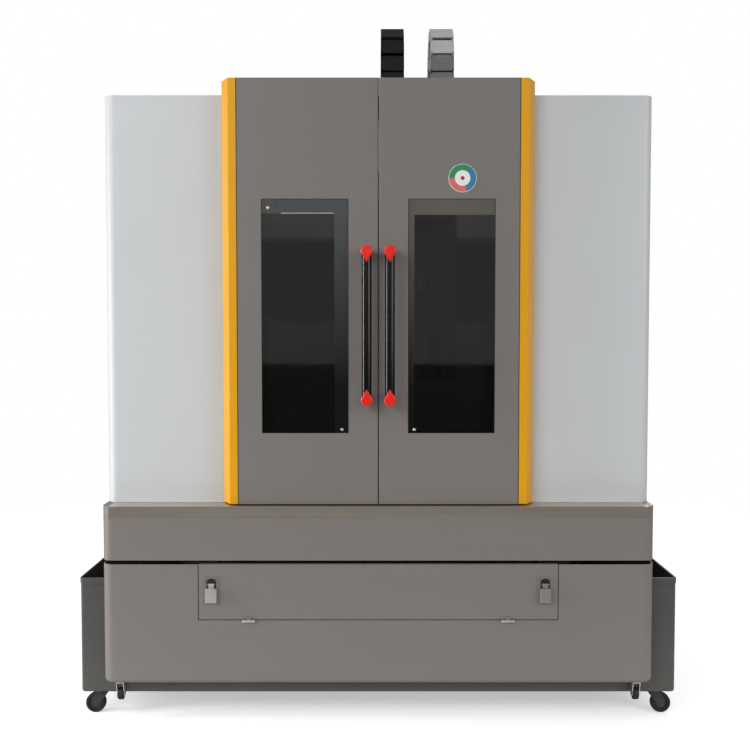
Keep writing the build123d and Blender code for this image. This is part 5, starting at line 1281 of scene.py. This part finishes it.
@dataclass
class Bellows:
    """One pleated cover over a slideway.

    Attributes:
        name: The piece's name.
        node: The node that it belongs to.
        start: Its corner at the fixed end.
        reach: Vector to its moving end.
        rise: Vector of a fold's height.
        across: Vector of its width.
        pleat: Length of a pleat.
        bodies: The fixed and the moving body; not used.
        cloth: Thickness of the cloth.
    """

    name: str
    node: str
    start: Point
    reach: Point
    rise: Point
    across: Point
    pleat: float
    bodies: tuple[str, str]
    cloth: float = 0.0016

    def build(self, parts: Parts) -> None:
        """Folds the cloth and thickens it."""
        reach = Vector(self.reach)
        halves = 2 * max(2, round(reach.length / self.pleat))
        values = {
            "Folds": halves + 1,
            "Start": tuple(self.start),
            "Run": tuple(reach / halves),
            "Rise": tuple(self.rise),
            "Across": tuple(self.across),
            "Finish": BELLOWS_CLOTH.material(),
        }
        mesh = grown(parts.pleats, values, [(0, 0, 0)], False, self.name)
        form = Form()
        form.mesh.from_mesh(mesh)
        bmesh.ops.solidify(form.mesh, geom=form.mesh.faces[:], thickness=self.cloth)
        cover = form.piece(self.name, BELLOWS_CLOTH, None, [self.node])
        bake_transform(cover)


@dataclass
class DragChain:
    """A drag chain that lies or stands in a U, in two runs and a bend, each made of links.

    Attributes:
        node: The node that it stands for.
        finish: Its nylon.
        bend_finish: The nylon of its links in the bend, paler on the grey chain as painted light.
        width: The axis of its width.
        wide: Its width.
        high: A link's height.
        pitch: A link's length.
        fixed: Its end on the body that stays.
        turn: Where its first run meets the bend.
        back: Where the bend meets the second run.
        moving: Its end on the body that moves.
        bodies: The body that stays and the one that moves; not used.
    """

    node: str
    finish: Finish
    bend_finish: Finish
    width: Axis
    wide: float
    high: float
    pitch: float
    fixed: Vector
    turn: Vector
    back: Vector
    moving: Vector
    bodies: tuple[str, str]

    def link(self) -> bpy.types.Object:
        """Makes a link: two waisted side plates, a lid outside and inside and a web, its length on Z."""
        wide, tall = self.wide / 2, self.high / 2
        level = self.width.vector
        out = Axis.Z.vector.cross(level)
        plate, bar = 0.0075, 0.0045
        corners = ((0.50, -0.45), (0.50, 0.45), (0.34, 1.0))
        outline = [(-0.34, -1.0), (0.34, -1.0), *corners, *[(-along, up) for along, up in corners[::-1]]][:-1]
        outline.append((-0.50, -0.45))
        spots = [Axis.Z.vector * (along * self.pitch) + out * (up * tall) for along, up in outline]
        form = Form()
        for start in (-wide, wide - plate):
            form.prism(spots, level * start, level * plate)
        lids = ((-tall + 0.0005, 0.46, bar), (tall - bar - 0.0005, 0.46, bar), (-bar / 2, 0.51, bar))
        for foot, spread, rise in lids:
            flat = [
                Axis.Z.vector * (along * self.pitch) + out * (foot + up)
                for along, up in ((-spread, 0.0), (spread, 0.0), (spread, rise), (-spread, rise))
            ]
            form.prism(flat, level * (-wide + plate), level * (self.wide - 2 * plate))
        return form.template(f"{self.node}_link")

    def build(self, rule: bpy.types.NodeTree) -> None:
        """Builds the two runs and the bend."""
        centre = (self.turn + self.back) / 2
        arm = self.turn - centre
        lead = (self.turn - self.fixed).normalized() * arm.length
        turns = [step * math.pi / 24 for step in range(25)]
        arc = [centre + arm * math.cos(turn) + lead * math.sin(turn) for turn in turns]
        side = self.width.vector * 10
        runs = (
            ("fixed_run", self.finish, [self.fixed, self.turn], self.fixed, 2 * self.turn - self.fixed),
            ("bend", self.bend_finish, arc, centre - side, centre + side),
            ("moving_run", self.finish, [self.back, self.moving], 2 * self.back - self.moving, self.moving),
        )
        for part, finish, path, start, end in runs:
            length = sum((after - before).length for before, after in zip(path, path[1:]))
            values = {
                "Links": max(1, round(length / self.pitch)),
                "Link": self.link(),
                "Finish": finish.material(),
            }
            name = f"{self.node}_{part}"
            piece = settle(grown(rule, values, path, True, name), name, finish, None, [self.node])
            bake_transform(piece)


@dataclass
class Gantry:
    """Castings, slideways, drives, table, saddle, head and spindle.

    Attributes:
        castings: The painted castings, and the width of their rounded edges.
        bend_room: How far the standing chains' bends are lowered, so that the corners of their links keep the height.
        pitch: Length of a link of the standing chains.
        tall: Height of a link of the standing chains.
        foot_above_rails: Height of their fixed ends over the Z rails.
        lying_pitch: Length of a link of the lying chain.
        lying_tall: Height of a link of the lying chain.
    """

    castings: tuple[tuple[str, float], ...] = (
        ("base_casting", 0.004),
        ("left_column", 0.006),
        ("right_column", 0.006),
        ("cross_beam", 0.004),
        ("saddle", 0.003),
        ("z_head", 0.003),
    )
    bend_room: float = 0.0035
    pitch: float = 0.066
    tall: float = 0.050
    foot_above_rails: float = 0.030
    lying_pitch: float = 0.050
    lying_tall: float = 0.040

    def build(self) -> None:
        """Dresses the castings, rails, screws and motors."""
        for node, width in self.castings:
            rounded(node, CASTING_ENAMEL, width)
        rounded("leveling_feet", ZINC_PLATE_AND_HIGHLIGHT, 0.0015)
        rounded("worktable", GROUND_IRON, 0.0012)
        rounded("axis_motors", MOTOR_ENAMEL, 0.003)
        rounded("z_motor", MOTOR_ENAMEL, 0.0008)
        rounded("spindle_housing", SPINDLE_STEEL)
        rounded("spindle_shaft", RAIL_Z, 0.0008)
        for node, finish in (("x_rails", RAIL_X), ("y_rails", RAIL_Y), ("z_rails", RAIL_Z)):
            rounded(node, finish, 0.0012)
        for node, finish in (("x_screw", SCREW_X), ("y_screw", SCREW_Y), ("z_screw", SCREW_Z)):
            rounded(node, finish, 0.0008)

    def covers(self, parts: Parts) -> None:
        """Builds the bellows over the beam and the bed."""
        low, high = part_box("x_bellows")
        saddle_low, saddle_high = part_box("saddle")
        gaps = (("left_beam_bellows", low.x, saddle_low.x), ("right_beam_bellows", high.x, saddle_high.x))
        for name, fixed, moving in gaps:
            Bellows(
                name,
                "x_bellows",
                (fixed, high.y - 0.001, low.z),
                (moving - fixed, 0, 0),
                (0, low.y - high.y + 0.003, 0),
                (0, 0, high.z - low.z),
                0.040,
                ("machine", "saddle"),
            ).build(parts)
        low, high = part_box("y_bellows")
        table_low, table_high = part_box("worktable")
        gaps = (("front_bed_bellows", low.y, table_low.y), ("rear_bed_bellows", high.y, table_high.y))
        for name, fixed, moving in gaps:
            Bellows(
                name,
                "y_bellows",
                (low.x, fixed, low.z + 0.001),
                (0, moving - fixed, 0),
                (0, 0, high.z - low.z - 0.003),
                (high.x - low.x, 0, 0),
                0.036,
                ("machine", "table"),
            ).build(parts)

    def chains(self) -> None:
        """Builds the three drag chains."""
        upright = chain_rule(Axis.X)
        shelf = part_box("z_head")[1].z
        # The grey chain's bend takes a paler nylon: painted light on its top links
        chains = (("black_chain", BLACK_NYLON, BLACK_NYLON), ("grey_chain", GREY_NYLON, LIT_GREY_NYLON))
        for node, finish, bend_finish in chains:
            low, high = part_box(node)
            wide, tall = high.x - low.x, self.tall
            x, rear, front = (low.x + high.x) / 2, high.y - tall / 2, low.y + tall / 2
            bend = high.z - tall / 2 - (rear - front) / 2 - self.bend_room
            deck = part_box("z_rails")[1].z + self.foot_above_rails
            DragChain(
                node,
                finish,
                bend_finish,
                Axis.X,
                wide,
                tall,
                self.pitch,
                Vector((x, rear, deck)),
                Vector((x, rear, bend)),
                Vector((x, front, bend)),
                Vector((x, front, shelf)),
                ("saddle", "head"),
            ).build(upright)
        low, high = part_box("x_chain")
        tall = self.lying_tall
        y, foot, top = (low.y + high.y) / 2, low.z + 0.004 + tall / 2, high.z - tall / 2
        bend = high.x - tall / 2 - (top - foot) / 2
        DragChain(
            "x_chain",
            BLACK_NYLON,
            BLACK_NYLON,
            Axis.Y,
            high.y - low.y,
            tall,
            self.lying_pitch,
            Vector((low.x + 0.030, y, foot)),
            Vector((bend, y, foot)),
            Vector((bend, y, top)),
            Vector((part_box("saddle")[0].x + 0.040, y, top)),
            ("machine", "saddle"),
        ).build(chain_rule(Axis.Y))


@dataclass
class ControlCabinet:
    """Electrical cabinet on the back, with vent louvres in its door.

    Attributes:
        louvre: Half the length, the depth and the height of a louvre.
        rows: Louvres in a group.
        step: Distance between louvres.
        groups: Height of the lowest louvre of each group.
        columns: Middle of the louvres in each column, along X.
        face_y: Where the door's outer face lies.
        screw_xs: Places of the corner screws along X.
        screw_zs: Their heights.
    """

    louvre: tuple[float, float, float] = (0.11, 0.006, 0.014)
    rows: int = 8
    step: float = 0.026
    groups: tuple[float, float] = (1.03, 1.82)
    columns: tuple[float, float] = (-0.14, 0.14)
    face_y: float = 1.1185
    screw_xs: tuple[float, float] = (-0.385, 0.385)
    screw_zs: tuple[float, float] = (0.975, 2.075)

    def build(self, parts: Parts) -> None:
        """Builds and dresses the cabinet."""
        rounded("electrical_cabinet", CABINET_COAT, 0.0015)
        rounded("cabinet_door", CABINET_COAT, 0.0015)
        half, deep, tall = self.louvre
        hood = [(0, deep * 0.35, tall * 0.92), (0, deep * 0.8, tall * 0.55)]
        outline = [(0, 0, 0), (0, 0, tall), *hood, (0, deep, 0.001), (0, deep, 0)]
        values = {
            "Part": Form().prism(outline, (-half, 0, 0), (2 * half, 0, 0)).template("louvre"),
            "Size": 1.0,
            "Facing": (0, 0, 1),
            "Finish": CABINET_COAT.material(),
        }
        points = [
            (x, self.face_y - 0.0002, base + self.step * at)
            for base in self.groups
            for at in range(self.rows)
            for x in self.columns
        ]
        name = "cabinet_louvres"
        settle(grown(parts.pattern, values, points, False, name), name, CABINET_COAT, "cabinet_door")
        spots = [(x, self.face_y, z) for x in self.screw_xs for z in self.screw_zs]
        parts.screws("cabinet_door_screws", spots, (0, 1, 0), "cabinet_door")


@dataclass
class Studio:
    """Floor, lights and camera.

    Attributes:
        eye: The camera's place.
        pitch: How far it looks down, in degrees.
        lens: Its focal length on a 36 mm sensor, in millimetres.
        sky_level: Strength of the even light.
        floor_lift: How much the floor near the machine is lifted for the eye.
        shadow_m: How far from the middle the floor begins to turn plain white, and where it is so.
    """

    eye: tuple[float, float, float] = (-0.012, -4.6485, 1.4549)
    pitch: float = 2.587
    lens: float = 47.02
    sky_level: float = 0.45
    floor_lift: float = 0.45
    shadow_m: tuple[float, float] = (2.2, 4.5)

    def build(self) -> None:
        """Builds the studio."""
        self.camera()
        self.floor()
        self.sky()
        self.lamp("key", (-4.4, -6.2, 4.4), (0.0, -1.0, 1.3), (3.0, 3.0), 185.0)
        self.lamp("fill", (5.0, -4.5, 2.6), (0.0, -0.6, 1.2), (3.0, 3.0), 105.0)
        self.lamp("left_strip", (-5.0, -1.9, 1.3), (-0.6, -1.0, 1.2), (0.6, 3.0), 150.0)
        self.lamp("rear", (2.5, 5.5, 4.2), (0.0, 0.4, 1.2), (3.0, 3.0), 160.0)
        bpy.context.scene.view_settings.view_transform = "Standard"

    def camera(self) -> None:
        """Sets the camera at the photograph's place and angle."""
        data = bpy.data.cameras.new("camera")
        data.sensor_width = 36.0
        data.lens = self.lens
        data.clip_end = 200.0
        camera = bpy.data.objects.new("camera", data)
        camera.location = self.eye
        camera.rotation_euler = (math.radians(90 - self.pitch), 0.0, 0.0)
        bpy.context.scene.collection.objects.link(camera)
        bpy.context.scene.camera = camera

    def seen(self, tree: bpy.types.NodeTree) -> bpy.types.NodeSocket:
        """Adds a switch that is one where the eye sees the surface, straight or through glass."""
        path = add_node(tree, "ShaderNodeLightPath")
        kinds = [path.outputs[name] for name in ("Is Camera Ray", "Is Transmission Ray")]
        return maths(tree, "MAXIMUM", *kinds)

    def floor(self) -> None:
        """Lays a pale matt floor that keeps the shadow near the machine and is plain white farther off."""
        mesh = bpy.data.meshes.new("floor")
        corners = [(-40.0, -40.0, 0.0), (40.0, -40.0, 0.0), (40.0, 40.0, 0.0), (-40.0, 40.0, 0.0)]
        mesh.from_pydata(corners, [], [(0, 1, 2, 3)])
        floor = bpy.data.objects.new("floor", mesh)
        bpy.context.scene.collection.objects.link(floor)
        pale = bpy.data.materials.new("pale_floor")
        pale.use_nodes = True
        tree = pale.node_tree
        tree.nodes.clear()
        seen = self.seen(tree)
        matt = add_node(tree, "ShaderNodeBsdfDiffuse", {"Color": (0.9, 0.9, 0.9, 1.0)})
        glow = add_node(tree, "ShaderNodeEmission", {"Strength": maths(tree, "MULTIPLY", seen, self.floor_lift)})
        near = add_node(tree, "ShaderNodeAddShader", {0: matt.outputs[0], 1: glow.outputs[0]})
        far = add_node(tree, "ShaderNodeEmission", {"Strength": seen})
        place = add_node(tree, "ShaderNodeTexCoord").outputs["Object"]
        away = add_node(tree, "ShaderNodeVectorMath", {0: place}, operation="LENGTH")
        near_m, far_m = self.shadow_m
        values = {"Value": away.outputs["Value"], "From Min": near_m, "From Max": far_m}
        share = add_node(tree, "ShaderNodeMapRange", values)
        both = add_node(tree, "ShaderNodeMixShader", {0: share.outputs[0], 1: near.outputs[0], 2: far.outputs[0]})
        add_node(tree, "ShaderNodeOutputMaterial", {"Surface": both.outputs[0]})
        mesh.materials.append(pale)

    def sky(self) -> None:
        """Sets a soft even light that shows as white behind the machine."""
        world = bpy.data.worlds.new("studio")
        world.use_nodes = True
        tree = world.node_tree
        tree.nodes.clear()
        values = {"Value": self.seen(tree), "To Min": self.sky_level, "To Max": 1.0}
        level = add_node(tree, "ShaderNodeMapRange", values)
        light = add_node(tree, "ShaderNodeBackground", {"Color": (1.0, 1.0, 1.0, 1.0), "Strength": level.outputs[0]})
        add_node(tree, "ShaderNodeOutputWorld", {"Surface": light.outputs[0]})
        bpy.context.scene.world = world

    def lamp(self, name: str, place: Point, target: Point, size: tuple[float, float], power: float) -> None:
        """Hangs a soft lamp.

        Args:
            name: Its name.
            place: Where it hangs.
            target: What it points at.
            size: Its width and height.
            power: Its power in watts.
        """
        data = bpy.data.lights.new(name, "AREA")
        data.shape = "RECTANGLE"
        data.size, data.size_y = size
        data.energy = power
        lamp = bpy.data.objects.new(name, data)
        lamp.location = place
        lamp.rotation_euler = (Vector(target) - Vector(place)).to_track_quat("-Z", "Y").to_euler()
        bpy.context.scene.collection.objects.link(lamp)


def main() -> None:
    """Builds every sub-assembly in order."""
    logging.basicConfig(level=logging.INFO, format="%(message)s")
    Studio().build()
    parts = Parts(pattern_rule(), pleat_rule())
    Enclosure().build(parts)
    # The bands on the glass are painted light that stands for the inner door frames
    SlidingDoor(Side.LEFT, LEFT_PAINTED_FRAME_LIGHT, 1.8825, 0.161).build(parts)
    SlidingDoor(Side.RIGHT, RIGHT_PAINTED_FRAME_LIGHT, 1.8785, 0.132).build(parts)
    WindowBracket().build(parts)
    MeetingLip().build()
    DoorSticker().build()
    CoolantTank().build()
    FrontCover().build()
    for end in ("front", "rear"):
        for side in Side:
            place = f"{end}_{side.word}_caster"
            Caster(f"{place}_wheel", f"{place}_fork", Axis.Y, FORK_COAT).build()
    Caster("left_small_wheel", "small_caster_forks", Axis.X, ZINC_PLATE_AND_HIGHLIGHT).build()
    Caster("right_small_wheel", None, Axis.X, ZINC_PLATE_AND_HIGHLIGHT).build()
    gantry = Gantry()
    gantry.build()
    gantry.covers(parts)
    gantry.chains()
    ControlCabinet().build(parts)


if __name__ == "__main__":
    main()
